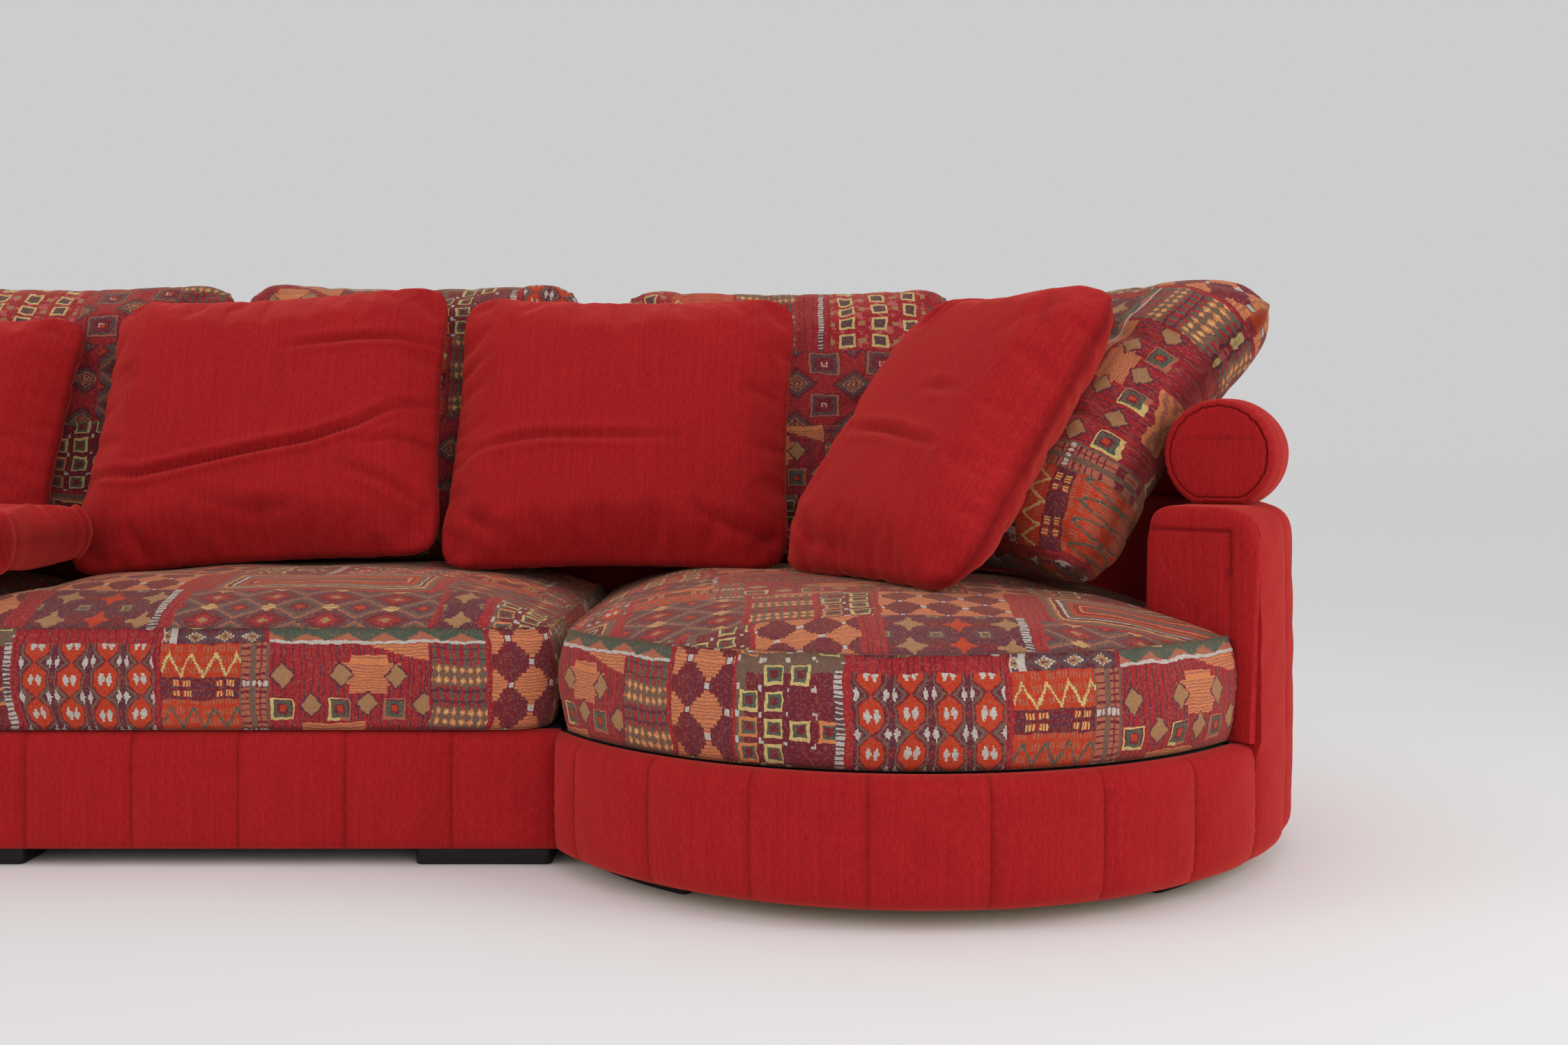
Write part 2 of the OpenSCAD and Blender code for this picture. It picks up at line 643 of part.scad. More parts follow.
// Place on the leaning plane that just touches the bolster, at a height
function back_at(x, z) = let (bolster_y = front_y + module_d - wall_t / 2)
    [x, bolster_y - (back_t / 2 + bolster_r + pad_gap + (bolster_z - z) * sin(back_lean)) / cos(back_lean), z];
function back_settled(x, w) = settled(back_pad(w, 0), back_at(x, seat_seam), back_up);
// Gap between two back cushions
back_gap = 12;
// Distances of the two back cushions from the joint between middle and round module
back_right_gap = 8;
back_middle_gap = 62;
back_right_x = middle_right_x + join_gap + back_right_gap + back_w / 2;
back_middle_x = middle_right_x - back_middle_gap - back_w / 2;
back_left_x = back_middle_x - back_w - back_gap;
// The last one fills what is left of the left module
back_far_w = back_left_x - back_w / 2 - back_gap - left_x;
back_far_x = left_x + back_far_w / 2;
module back_cushion(x, w = back_w) { pad_solid(back_pad(w, 0), back_settled(x, w), tapestry); }

// Loose pillows lean on the back cushions, which they meet at four fifths of their height
pillow_up = [0, 0, 1];
function pillow_pad(w, l, roll) = [w, l, pillow_t, 0.035, pillow_rings, roll, 0, pillow_lean, 0];
// Share of a pillow's height at which it meets the cushion behind
contact = 0.8;
function pillow_at(x, z, l) = let (
    b = back_at(x, z),
    top = [contact * l * sin(pillow_lean) + pillow_t / 2 * cos(pillow_lean),
        contact * l * cos(pillow_lean) - pillow_t / 2 * sin(pillow_lean)])
    [x, b[1] + top[1] * tan(back_lean) - back_t / 2 / cos(back_lean) - pad_gap - top[0], z];
// The middle pillow stands over the joint, a little to its right
pillow_middle_w = pillow_w - 40;
pillow_middle_x = middle_right_x + 35;
// Gaps between the standing pillows
pillow_gap = 4;
pillow_left_x = pillow_middle_x - (pillow_middle_w + pillow_w) / 2 - pillow_gap;
pillow_far_gap = 20;
pillow_far_x = pillow_left_x - (pillow_w + pillow_far_w) / 2 - pillow_far_gap;
// Sideways tilt of the left pillow, in degrees
pillow_tilt = 2;
module pillow(x, w, l = pillow_l, roll = 0) {
    pad = pillow_pad(w, l, roll);
    pad_solid(pad, settled(pad, pillow_at(x, seat_top, l), pillow_up), red);
}

// Corner cushions stand diagonally on the round seat, the patterned one draped over the arm
corner_out = [sin(corner_turn), cos(corner_turn), 0];
// Lean of the lower end of the draped cushion, in degrees
drape_lean = 29;
corner_pad = [corner_back_w, corner_back_l, back_t, 0.02, back_rings, 0, drape, drape_lean, -corner_turn];
// Clearance from the roll at sample points, which leaves room for the flat faces between them
roll_gap = 5;
// How far a pad must draw in to stand clear of the roll on the arm
function roll_deficit(pad, at) = max([for (p = pad_samples(pad, at))
    let (out = norm([p[0] - round_x, p[1]]) - (round_r - wall_t / 2))
    bolster_r + roll_gap - norm([out, p[2] - bolster_z])]);
function draped(pad, at, tries = 6) = tries == 0 ? at :
    let (in = at - corner_out * roll_deficit(pad, at))
    draped(pad, settled(pad, in, pillow_up, 1), tries - 1);
corner_place = [126, -76];
corner_at = draped(corner_pad, [round_x + corner_place[0], corner_place[1], seat_seam]);
// Lean of the plain corner pillow, in degrees
corner_pillow_lean = 37;
corner_pillow_pad = [
    corner_pillow_w, corner_pillow_l, pillow_t, 0.035, pillow_rings, 0, 0, corner_pillow_lean, -corner_turn];
// The corner pillow stands in front of it, a little to its left
corner_side = -4;
corner_step = 75;
corner_pillow_at = corner_at
    - corner_out * ((back_t + pillow_t) / 2 + corner_step)
    + [cos(corner_turn), -sin(corner_turn), 0] * corner_side;
module back_cushion_corner() { pad_solid(corner_pad, corner_at, tapestry); }
module pillow_corner() {
    pad_solid(corner_pillow_pad, settled(corner_pillow_pad, corner_pillow_at, pillow_up), red);
}
// The lying pillow rests flat on the left seat, in front of the standing one
lying_pad = [lying_w, lying_l, pillow_t, 0.035, pillow_rings, 0, 0, 90, 0];
// Distance behind the front seams, and to the right of the standing pillow's middle
lying_setback = 16;
lying_right = 120;
module pillow_lying() {
    at = [pillow_far_x + lying_right, front_y + lying_setback, seat_top];
    pad_solid(lying_pad, settled(lying_pad, at, pillow_up), red);
}

module connector_pair(x, right) {
    for (y = connector_y) translate([x, y, 0]) mirror([right ? 1 : 0, 0]) children();
}

at_left() front_rail();  // left_front_rail
at_left() back_rails();  // left_back_rails
at_left() side_rails();  // left_side_rails
at_left() corner_blocks();  // left_corner_blocks
at_left() webbing();  // left_webbing
at_left() deck_pad();  // left_deck_pad
at_left() dust_cover();  // left_dust_cover
at_left() feet();  // left_feet
at_left() front_cover();  // left_front_cover
at_left() side_panels();  // left_side_panels
at_left() uprights();  // left_uprights
at_left() back_panel();  // left_back_panel
at_left() top_rail();  // left_top_rail
at_left() back_cover();  // left_back_cover
at_left() bolster();  // left_bolster
at_left() seat_cushion();  // left_seat_cushion
at_left() connector_pair(module_w, false) blade();  // left_connector_blades
at_middle() front_rail();  // middle_front_rail
at_middle() back_rails();  // middle_back_rails
at_middle() side_rails();  // middle_side_rails
at_middle() corner_blocks();  // middle_corner_blocks
at_middle() webbing();  // middle_webbing
at_middle() deck_pad();  // middle_deck_pad
at_middle() dust_cover();  // middle_dust_cover
at_middle() feet();  // middle_feet
at_middle() front_cover();  // middle_front_cover
at_middle() side_panels();  // middle_side_panels
at_middle() uprights();  // middle_uprights
at_middle() back_panel();  // middle_back_panel
at_middle() top_rail();  // middle_top_rail
at_middle() back_cover();  // middle_back_cover
at_middle() bolster();  // middle_bolster
at_middle() seat_cushion();  // middle_seat_cushion
at_middle() {  // middle_connector_jaws
    connector_pair(-join_gap, false) jaw();
    connector_pair(module_w + join_gap, true) jaw();
}
at_round() round_bottom_board();
at_round() round_base_blocks();
at_round() round_deck_board();
at_round() round_base_skin();
at_round() round_deck_pad();
at_round() round_feet();
at_round() round_base_cover();
at_round() round_side_panels();
at_round() round_uprights();
at_round() round_wall_skins();
at_round() round_top_rail();
at_round() round_wall_cover();
at_round() round_wall_end();
at_round() round_bolster();
at_round() round_seat_cushion();
translate([0, front_y, 0]) at_round() connector_pair(-round_reach, true) blade();  // round_connector_blades
back_cushion(back_far_x, back_far_w);  // back_cushion_far_left
back_cushion(back_left_x);  // back_cushion_left
back_cushion(back_middle_x);  // back_cushion_middle
back_cushion(back_right_x);  // back_cushion_right
back_cushion_corner();
pillow(pillow_far_x, pillow_far_w, pillow_far_l);  // pillow_far_left
pillow(pillow_left_x, pillow_w, pillow_l, pillow_tilt);  // pillow_left
pillow(pillow_middle_x, pillow_middle_w);  // pillow_middle
pillow_corner();
pillow_lying();
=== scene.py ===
import math

import bmesh
import bpy
import numpy as np
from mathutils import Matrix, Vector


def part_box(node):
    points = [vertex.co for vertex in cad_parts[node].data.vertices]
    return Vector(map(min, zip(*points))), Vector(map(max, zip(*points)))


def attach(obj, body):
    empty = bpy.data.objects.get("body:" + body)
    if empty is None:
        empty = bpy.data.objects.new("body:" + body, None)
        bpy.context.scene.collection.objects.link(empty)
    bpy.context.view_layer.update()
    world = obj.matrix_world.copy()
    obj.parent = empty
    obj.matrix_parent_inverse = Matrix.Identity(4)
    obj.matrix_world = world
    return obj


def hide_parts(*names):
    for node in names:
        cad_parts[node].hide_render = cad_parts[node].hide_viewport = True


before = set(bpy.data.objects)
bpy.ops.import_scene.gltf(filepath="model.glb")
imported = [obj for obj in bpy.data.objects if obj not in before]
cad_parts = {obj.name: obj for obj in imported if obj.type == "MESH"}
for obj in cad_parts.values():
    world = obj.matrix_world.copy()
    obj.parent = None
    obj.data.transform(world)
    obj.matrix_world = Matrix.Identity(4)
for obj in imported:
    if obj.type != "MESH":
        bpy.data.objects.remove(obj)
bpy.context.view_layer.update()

# Camera, light and floor
# The camera stands in front of the round module at seat height. Wide soft lamps at the left, at
# the right and in front, gridded so that they leave no bright pools near them, and an even
# surround light the sofa on a plain pale floor.
scene = bpy.context.scene


def stand(name, data, place=(0.0, 0.0, 0.0), turn=(0.0, 0.0, 0.0)):
    """New object in the scene, at a place and turned in degrees."""
    made = bpy.data.objects.new(name, data)
    made.location = place
    made.rotation_euler = [math.radians(angle) for angle in turn]
    scene.collection.objects.link(made)
    return made


def grey(level):
    """Grey of a linear level."""
    return (level, level, level, 1.0)


lens = bpy.data.cameras.new("camera")
lens.lens = 35.0
lens.sensor_width = 36.0
lens.shift_y = -0.0489
scene.camera = stand("camera", lens, (0.795, -2.663, 0.647), (90.0, 0.0, 0.0))
LAMP_SPREAD = math.radians(80)
for name, place, turn, size, power in (
    ("left lamp", (-6.0, -2.0, 3.2), (68.0, 0.0, -73.0), 3.0, 20.0),
    ("front lamp", (2.2, -4.2, 2.2), (62.0, 0.0, 24.0), 2.4, 8.6),
    ("right lamp", (4.6, -1.6, 2.4), (60.0, 0.0, 68.0), 2.2, 11.0),
):
    lamp = bpy.data.lights.new(name, "AREA")
    lamp.size = size
    lamp.energy = power
    lamp.spread = LAMP_SPREAD
    stand(name, lamp, place, turn)

# The camera sees a backdrop as bright as the far floor.
surround = bpy.data.worlds.new("surround")
surround.use_nodes = True
tree = surround.node_tree
background = tree.nodes["Background"]
background.inputs["Strength"].default_value = 0.85
behind_all = tree.nodes.new("ShaderNodeMix")
behind_all.data_type = "RGBA"
behind_all.inputs[6].default_value = grey(0.82)
behind_all.inputs[7].default_value = grey(0.718)
ray = tree.nodes.new("ShaderNodeLightPath")
tree.links.new(ray.outputs["Is Camera Ray"], behind_all.inputs[0])
tree.links.new(behind_all.outputs[2], background.inputs["Color"])
scene.world = surround
scene.view_settings.view_transform = "Standard"

ground = bpy.data.meshes.new("floor")
ground.from_pydata([(-60, -60, 0), (60, -60, 0), (60, 60, 0), (-60, 60, 0)], [], [(0, 1, 2, 3)])
floor = stand("floor", ground)
pale = bpy.data.materials.new("pale floor")
pale.use_nodes = True
paint = pale.node_tree.nodes["Principled BSDF"]
paint.inputs["Base Color"].default_value = grey(0.86)
paint.inputs["Roughness"].default_value = 0.8
floor.data.materials.append(pale)


# Red front and base covers
# Foam under one band of red chenille is sewn into upright channels round each module's base.
# The cloth is pulled tight at every seam, and turned in and stapled at the bottom edge.
def calculation(operation):
    """Method that adds a Math node of an operation."""
    return lambda self, other: self.math(operation, other)


class Shade:
    """An output socket of a material's nodes. Python's operators add Math nodes to it."""

    def __init__(self, tree, socket):
        self.tree = tree
        self.socket = socket

    def node(self, kind, settings, inputs, output=0):
        """Output of a new node: settings are its attributes, inputs are values or shades."""
        made = self.tree.nodes.new(kind)
        for key, value in settings.items():
            setattr(made, key, value)
        for key, value in inputs.items():
            if isinstance(value, Shade):
                self.tree.links.new(value.socket, made.inputs[key])
            else:
                made.inputs[key].default_value = value
        return Shade(self.tree, made.outputs[output])

    def math(self, operation, *others):
        return self.node("ShaderNodeMath", {"operation": operation}, dict(enumerate((self, *others))))

    __add__ = __radd__ = calculation("ADD")
    __sub__ = calculation("SUBTRACT")
    __mul__ = __rmul__ = __and__ = calculation("MULTIPLY")
    __truediv__ = calculation("DIVIDE")
    __lt__ = calculation("LESS_THAN")
    __gt__ = calculation("GREATER_THAN")
    __or__ = max = calculation("MAXIMUM")
    min = calculation("MINIMUM")
    snap = calculation("SNAP")

    def __rsub__(self, other):
        return self.node("ShaderNodeMath", {"operation": "SUBTRACT"}, {0: other, 1: self})

    def __abs__(self):
        return self.math("ABSOLUTE")

    def split(self, *axes):
        """Components of a place, by their numbers."""
        return [self.node("ShaderNodeSeparateXYZ", {}, {0: self}, axis) for axis in axes]

    def joined(self, other):
        """Place whose components are this and another."""
        return self.node("ShaderNodeCombineXYZ", {}, {0: self, 1: other})

    def chance(self):
        """Random value from 0 to 1 for every place."""
        return self.node("ShaderNodeTexWhiteNoise", {}, {0: self})

    def woven(self, count):
        """Plain weave from -1 to 1: the product of two sine waves."""
        across, along = self.split(0, 1)
        return (across * count).math("SINE") * (along * count).math("SINE")

    def near(self, pitch):
        """Distance to the nearest whole multiple of a pitch."""
        return self.math("PINGPONG", pitch / 2)

    def mix(self, a, b):
        """Colour a where this is 0, colour b where it is 1."""
        return self.node("ShaderNodeMix", {"data_type": "RGBA"}, {0: self, 6: a, 7: b}, 2)

    def dimmed(self, factor):
        """This colour times a factor."""
        return self.node("ShaderNodeVectorMath", {"operation": "SCALE"}, {0: self, "Scale": factor})

    def noise(self, scale, stretch=(1.0, 1.0, 1.0), detail=2.0):
        """Noise from 0 to 1 at this place, stretched along its axes."""
        place = self.node("ShaderNodeVectorMath", {"operation": "MULTIPLY"}, {0: self, 1: stretch})
        return self.node("ShaderNodeTexNoise", {}, {"Vector": place, "Scale": scale, "Detail": detail})


def seam_mark(place):
    """Painted shade of seams and folds: 1 in a seam or fold and 0 away from it."""
    return place.node("ShaderNodeAttribute", {"attribute_name": "seam"}, {}, 2)


def tint(code):
    """Linear colour of a hexadecimal one."""
    parts = [int(code[i : i + 2], 16) / 255 for i in (0, 2, 4)]
    return tuple(c / 12.92 if c < 0.04045 else ((c + 0.055) / 1.055) ** 2.4 for c in parts) + (1.0,)


def material(name, build, roughness=0.9, sheen=0.0, bloom="FFFFFF", gloss=0.25):
    """Material whose build function returns colour, height and height's distance in metres. bloom
    is the colour of its sheen."""
    made = bpy.data.materials.new(name)
    made.use_nodes = True
    tree = made.node_tree
    surface = tree.nodes["Principled BSDF"]
    finish = {
        "Roughness": roughness, "Sheen Weight": sheen, "Sheen Roughness": 0.45,
        "Sheen Tint": tint(bloom), "Specular IOR Level": gloss}
    for key, value in finish.items():
        surface.inputs[key].default_value = value
    start = Shade(tree, None)
    place = start.node("ShaderNodeUVMap", {"uv_map": "cloth"}, {})
    colour, height, distance = build(place)
    tree.links.new(colour.socket, surface.inputs["Base Color"])
    bump = start.node("ShaderNodeBump", {}, {"Height": height, "Distance": distance, "Strength": 0.6})
    tree.links.new(bump.socket, surface.inputs["Normal"])
    return made


def chenille(place):
    """Red cloth: upright slubbed yarns, a little darker between them, with painted shade in the seams
    and folds.
    """
    grain = place.noise(1.0, (620.0, 95.0, 1.0), 3.0)
    slub = place.noise(1.0, (240.0, 900.0, 1.0), 1.0)
    streak = place.noise(1.0, (190.0, 7.0, 1.0), 2.0)
    cloud = place.noise(1.0, (9.0, 7.0, 1.0), 3.0)
    level = 0.34 + grain * 0.52 + slub * 0.16 + streak * 0.46 + cloud * 0.20
    colour = grain.mix(tint("93151A"), tint("AA2325"))
    # Darker in seams and folds: painted shade, which also stands for the seams' stitch lines.
    return colour.dimmed(level * (1.0 - seam_mark(place) * 0.45)), grain + slub * 0.5, 0.0012


CHENILLE_FINISH = (0.92, 0.55, "FF6A5C", 0.06)
RED = material("red chenille", chenille, *CHENILLE_FINISH)


def cells(grid):
    """The four corners of every cell of a grid, in order round the cell."""
    corners = (grid[:-1, :-1], grid[:-1, 1:], grid[1:, 1:], grid[1:, :-1])
    return np.stack(corners, 2).reshape(-1, 4, *grid.shape[2:])


def piece(name, points, patches, body, look, nodes, seam=None):
    """Closed mesh of patches, each a grid of point numbers and one of cloth places in metres.
    seam is painted shade: 1 at a point in a seam or fold and 0 away from it."""
    corners = np.concatenate([cells(ids) for ids, _ in patches])
    cloth = np.concatenate([cells(uv) for _, uv in patches])
    keep = corners != np.roll(corners, 1, 1)
    mesh = bpy.data.meshes.new(name)
    mesh.from_pydata(points.tolist(), [], [c[k].tolist() for c, k in zip(corners, keep)])
    mesh.uv_layers.new(name="cloth").data.foreach_set("uv", cloth[keep].ravel())
    # Painted shade of seams and folds, kept on the mesh for the cloth materials to darken by.
    mark = mesh.attributes.new("seam", "FLOAT", "POINT")
    if seam is not None:
        mark.data.foreach_set("value", np.asarray(seam, float).ravel())
    tidy = bmesh.new()
    tidy.from_mesh(mesh)
    bmesh.ops.recalc_face_normals(tidy, faces=tidy.faces)
    tidy.to_mesh(mesh)
    tidy.free()
    mesh.shade_smooth()
    mesh.set_sharp_from_angle(angle=math.radians(62))
    mesh.materials.append(look)
    made = stand(name, mesh)
    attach(made, body)
    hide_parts(*nodes)
    return made


def ripple(u, v, pitch_u, pitch_v, seed, waves=14):
    """Smooth seeded unevenness from about -1 to 1: a sum of sine waves, whose lengths are near the
    two pitches and whose phases and slants are random."""
    rng = np.random.default_rng(seed)
    total = np.zeros(np.broadcast(u, v).shape)
    for _ in range(waves):
        a, b = rng.uniform(0.5, 1.5, 2) * rng.choice([-1, 1], 2)
        total += np.sin(2 * np.pi * (a * u / pitch_u + b * v / pitch_v + rng.uniform()))
    return total / math.sqrt(2 * waves)


def lengths(chain):
    """Distance along a chain to each of its points."""
    return np.concatenate([[0], np.cumsum(np.linalg.norm(np.diff(chain, axis=0), axis=1))])


def points_at(chain, run, places):
    """Points of a chain at places along it, where run holds its own points' places."""
    return np.stack([np.interp(places, run, column) for column in chain.T], 1)


def circle(angles):
    """Directions at angles, as points of a circle of radius 1."""
    return np.stack([np.cos(angles), np.sin(angles)], -1)


def bell(value, width):
    """1 where a value is 0, falling off over a width."""
    return np.exp(-((value / width) ** 2))


def rounded(control, step, times=4):
    """A chain of control points with its corners cut off times over, then in even steps."""
    chain = np.array(control, float)
    for _ in range(times):
        cut = np.stack([0.75 * chain[:-1] + 0.25 * chain[1:], 0.25 * chain[:-1] + 0.75 * chain[1:]], 1)
        chain = np.concatenate([chain[:1], cut.reshape(-1, chain.shape[1]), chain[-1:]])
    run = lengths(chain[:, -2:])
    even = np.linspace(0, run[-1], int(run[-1] / step) + 2)
    return points_at(chain, run, even), even


def channels(length, steps=24):
    """Places along a seam line, with their swell and their distance from a seam. Between two seams
    the cloth stands out as (1 - |2t - 1|^2.6)^0.8, and the steps crowd towards the seams."""
    edges = np.concatenate([[0], np.arange(length, 0.001, -CHANNEL_PITCH)[::-1]])
    t = (1 - np.cos(np.pi * np.arange(steps) / steps)) / 2
    width = np.diff(edges)[:, None]
    place = edges[:-1, None] + width * t
    swell = np.minimum(1, width / CHANNEL_PITCH) * (1 - np.abs(2 * t - 1) ** 2.6) ** 0.8
    reach = width * np.minimum(t, 1 - t)
    return [np.append(a, last) for a, last in ((place, length), (swell, 0), (reach, 0))]


def channelled(name, stations, foot, out, profile, inner, body, node, seed, full_from=math.inf):
    """Cover sewn into channels: the outer profile, as share of the swell, depth and height, is
    carried along the foot points and pushed out by the swell. The inner profile closes it behind.
    Its far end is a seam, or stands out in full above the height full_from."""
    place, swell, reach = stations
    (outer, run), (back, _) = rounded(profile, PROFILE_STEP), rounded(inner, PROFILE_STEP)
    back = back[np.linspace(0, len(back) - 1, len(outer)).round().astype(int)]
    share = outer[:, 0]
    rise = np.clip((outer[:, 2] - full_from) / FULL_WITHIN, 0, 1)
    last = (place > place[-1] - CHANNEL_PITCH / 2)[:, None] * rise
    swell = swell[:, None] * (1 - last) + last
    reach = reach[:, None] + last * CHANNEL_PITCH / 2
    near_seam = np.exp(-reach / SEAM_REACH)
    pucker = ripple(place[:, None], run, 0.3, 0.019, seed) * near_seam * UNEVEN
    uneven = ripple(place[:, None], run, 0.13, 0.10, seed + 1) * UNEVEN * (1 - near_seam)
    push = swell * share * PUFF + (pucker + uneven) * share - outer[:, 1]
    rows, cols = len(place), len(outer)

    def carried(offset, height):
        flat = foot[:, None] + out[:, None] * offset[..., None]
        return np.concatenate([flat, np.broadcast_to(height, (rows, cols))[..., None]], 2).reshape(-1, 3)

    points = np.concatenate([
        carried(push, outer[:, 2]), carried(np.broadcast_to(-back[:, 1], (rows, cols)), back[:, 2])])
    front = np.arange(rows * cols).reshape(rows, cols)
    rear = front + rows * cols
    cloth = np.stack(np.broadcast_arrays(place[:, None], run), 2)
    patches = [(front, cloth), (rear, cloth)]
    for edge in (np.s_[0], np.s_[-1], np.s_[:, 0], np.s_[:, -1]):
        joint = np.stack([front[edge], rear[edge]])
        patches.append((joint, np.stack([cloth[edge], cloth[edge] + 0.02])))
    # Painted shade in the seams: the cloth darkens towards each seam between the puffed channels.
    seam = SEAM_SHADE * np.exp(-reach / SEAM_SHADE_WIDTH)
    made = piece(name, points, patches, body, RED, [node], np.concatenate([seam, seam * 0]))


MODULE_W = 1.050
MODULE_D = 0.970
ROUND_R = 0.650
ROUND_REACH = 0.540
WALL_END = math.radians(39.5)
FRONT_Y = ROUND_R - MODULE_D
SEAT_INSET = 0.0036
MODULE_GAP = 0.0006
ROUND_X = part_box("round_seat_cushion")[0][0] + ROUND_REACH - SEAT_INSET
MIDDLE_X = ROUND_X - ROUND_REACH - MODULE_GAP - MODULE_W
LEFT_X = MIDDLE_X - MODULE_GAP - MODULE_W
STRAIGHT_MODULES = (("left", LEFT_X), ("middle", MIDDLE_X))
CHANNEL_PITCH = 0.164
PROFILE_STEP = 0.0075
PUFF = 0.0095
UNEVEN = 0.0011
SEAM_REACH = 0.013
SEAM_SHADE_WIDTH = 0.0022
SEAM_SHADE = 0.7
FULL_WITHIN = 0.03
FOOT_H = 0.025
BASE_TOP = 0.207
REST_GAP = 0.0003
WALL_TOP = 0.556
WALL_T = 0.170
COVER_T = 0.030
DECK_Z = 0.194


def hem(turn_in):
    """A profile's lower edge, turned in to where it is stapled."""
    return [(0.0, turn_in, FOOT_H), (0.7, 0.3 * turn_in, FOOT_H + 0.4 * turn_in),
            (1.0, 0.0, FOOT_H + 1.6 * turn_in)]


def base_profile(turn_in):
    return hem(turn_in) + [(1.0, 0.0, BASE_TOP - 0.05), (0.85, 0.001, BASE_TOP - 0.012),
                           (0.1, 0.014, BASE_TOP + 0.001), (0.0, 0.022, BASE_TOP)]


def behind(profile):
    return [(0.0, COVER_T, height) for _, _, height in profile]


STRAIGHT_TURN_IN = 0.010
ROUND_TURN_IN = 0.025

straight = channels(MODULE_W)
shape = base_profile(STRAIGHT_TURN_IN)
for module, left in STRAIGHT_MODULES:
    line = np.stack([left + straight[0], np.full_like(straight[0], FRONT_Y)], 1)
    facing = np.broadcast_to((0.0, -1.0), line.shape)
    channelled(f"{module}_base_front", straight, line, facing, shape, behind(shape),
               f"{module}_module", f"{module}_front_cover", 3)
joint_turn = math.pi + math.acos(ROUND_REACH / ROUND_R)
round_front = channels((2 * math.pi - WALL_END - joint_turn) * ROUND_R)
facing = circle(joint_turn + round_front[0] / ROUND_R)
line = ROUND_R * facing + (ROUND_X, 0.0)
# The cover's first end lies in the plane that joins the modules, so its depth runs along that plane.
outer_y, inner_y = (-math.sqrt(radius**2 - ROUND_REACH**2) for radius in (ROUND_R, ROUND_R - COVER_T))
facing[0] = (0.0, (outer_y - inner_y) / COVER_T)
shape = base_profile(ROUND_TURN_IN)
channelled("round_base_front", round_front, line, facing, shape, behind(shape),
           "round_module", "round_base_cover", 5)


# Wall covers
# The same channelled cloth goes up the outside of the wall, over its rounded top and down the
# inside to the deck. A padded panel closes the wall's front end, flush with the cover's last channel.
SHOULDER = 0.0144


def wall_profile(turn_in):
    return hem(turn_in) + [
        (1.0, 0.0, WALL_TOP - 0.06), (0.8, SHOULDER * 0.4, WALL_TOP - SHOULDER), (0.2, 0.04, WALL_TOP),
        (0.0, 0.06, WALL_TOP), (0.0, WALL_T - 0.06, WALL_TOP), (0.0, WALL_T - 0.03, WALL_TOP),
        (0.0, WALL_T - SHOULDER * 0.4, WALL_TOP - SHOULDER), (0.0, WALL_T, WALL_TOP - 0.06),
        (0.0, WALL_T, DECK_Z)]


INNER_TOP = WALL_TOP - COVER_T
INNER_CORNER = 0.012
WALL_INNER = [(0.0, depth, height) for depth, height in (
    (COVER_T, FOOT_H), (COVER_T, INNER_TOP - INNER_CORNER), (COVER_T, INNER_TOP),
    (COVER_T + INNER_CORNER, INNER_TOP), (WALL_T - COVER_T - INNER_CORNER, INNER_TOP),
    (WALL_T - COVER_T, INNER_TOP), (WALL_T - COVER_T, INNER_TOP - INNER_CORNER),
    (WALL_T - COVER_T, DECK_Z))]
for module, left in STRAIGHT_MODULES:
    line = np.stack([left + MODULE_W - straight[0], np.full_like(straight[0], ROUND_R)], 1)
    facing = np.broadcast_to((0.0, 1.0), line.shape)
    channelled(f"{module}_back_wall", straight, line, facing, wall_profile(STRAIGHT_TURN_IN), WALL_INNER,
               f"{module}_module", f"{module}_back_cover", 7)
wall_run = (math.pi / 2 + WALL_END) * ROUND_R
round_wall = channels(wall_run + ROUND_REACH)
facing = circle(np.minimum((wall_run + ROUND_REACH - round_wall[0]) / ROUND_R - WALL_END, math.pi / 2))
line = ROUND_R * facing + (ROUND_X, 0.0)
line[:, 0] -= np.maximum(ROUND_REACH - round_wall[0], 0)
channelled("round_wall", round_wall, line, facing, wall_profile(ROUND_TURN_IN), WALL_INNER,
           "round_module", "round_wall_cover", 9, BASE_TOP - 0.025)


def closed(grid):
    """A grid with its first column again at its end."""
    return np.concatenate([grid, grid[:, :1]], 1)


def loft(name, rings, cloth, body, look, nodes, seam=None):
    """Closed form through rings of the same number of points, each end drawn to its ring's middle."""
    rows, cols = rings.shape[:2]
    ids = closed(np.arange(rows * cols).reshape(rows, cols))
    ends = [np.full((1, cols + 1), rows * cols + k) for k in (0, 1)]
    tips = [np.broadcast_to(cloth[k].mean(0), (1, cols + 1, 2)) for k in (0, -1)]
    points = np.concatenate([rings.reshape(-1, 3), [rings[0].mean(0), rings[-1].mean(0)]])
    if seam is not None:
        seam = np.concatenate([np.broadcast_to(seam, (rows, cols)).ravel(), [0, 0]])
    patch = (np.concatenate([ends[0], ids, ends[1]]), np.concatenate([tips[0], cloth, tips[1]]))
    return piece(name, points, [patch], body, look, nodes, seam)


# The end panel: its outline is the wall's section, its rim is a quarter of a superellipse, and a
# sewn line with a square corner follows its top and outer side.
PANEL_FOOT = BASE_TOP + REST_GAP
PANEL_MIDDLE = (WALL_T / 2, (PANEL_FOOT + WALL_TOP) / 2)
RIM = 0.028
DOME = 0.0185
LINE_FROM_SIDE = 0.030
LINE_FROM_TOP = 0.036
LINE_DEPTH = 0.0040
PANEL_WAVE = 0.0007
side, _ = rounded([row for row in wall_profile(ROUND_TURN_IN) if row[2] > BASE_TOP], 0.005)
side[:, 1] -= side[:, 0] * PUFF
across = np.linspace(WALL_T, 0, 22)[:, None]
side = np.concatenate([side[:, 1:], np.concatenate([across, across * 0 + PANEL_FOOT], 1)])
spread = side - PANEL_MIDDLE
tangent = np.roll(side, -1, 0) - np.roll(side, 1, 0)
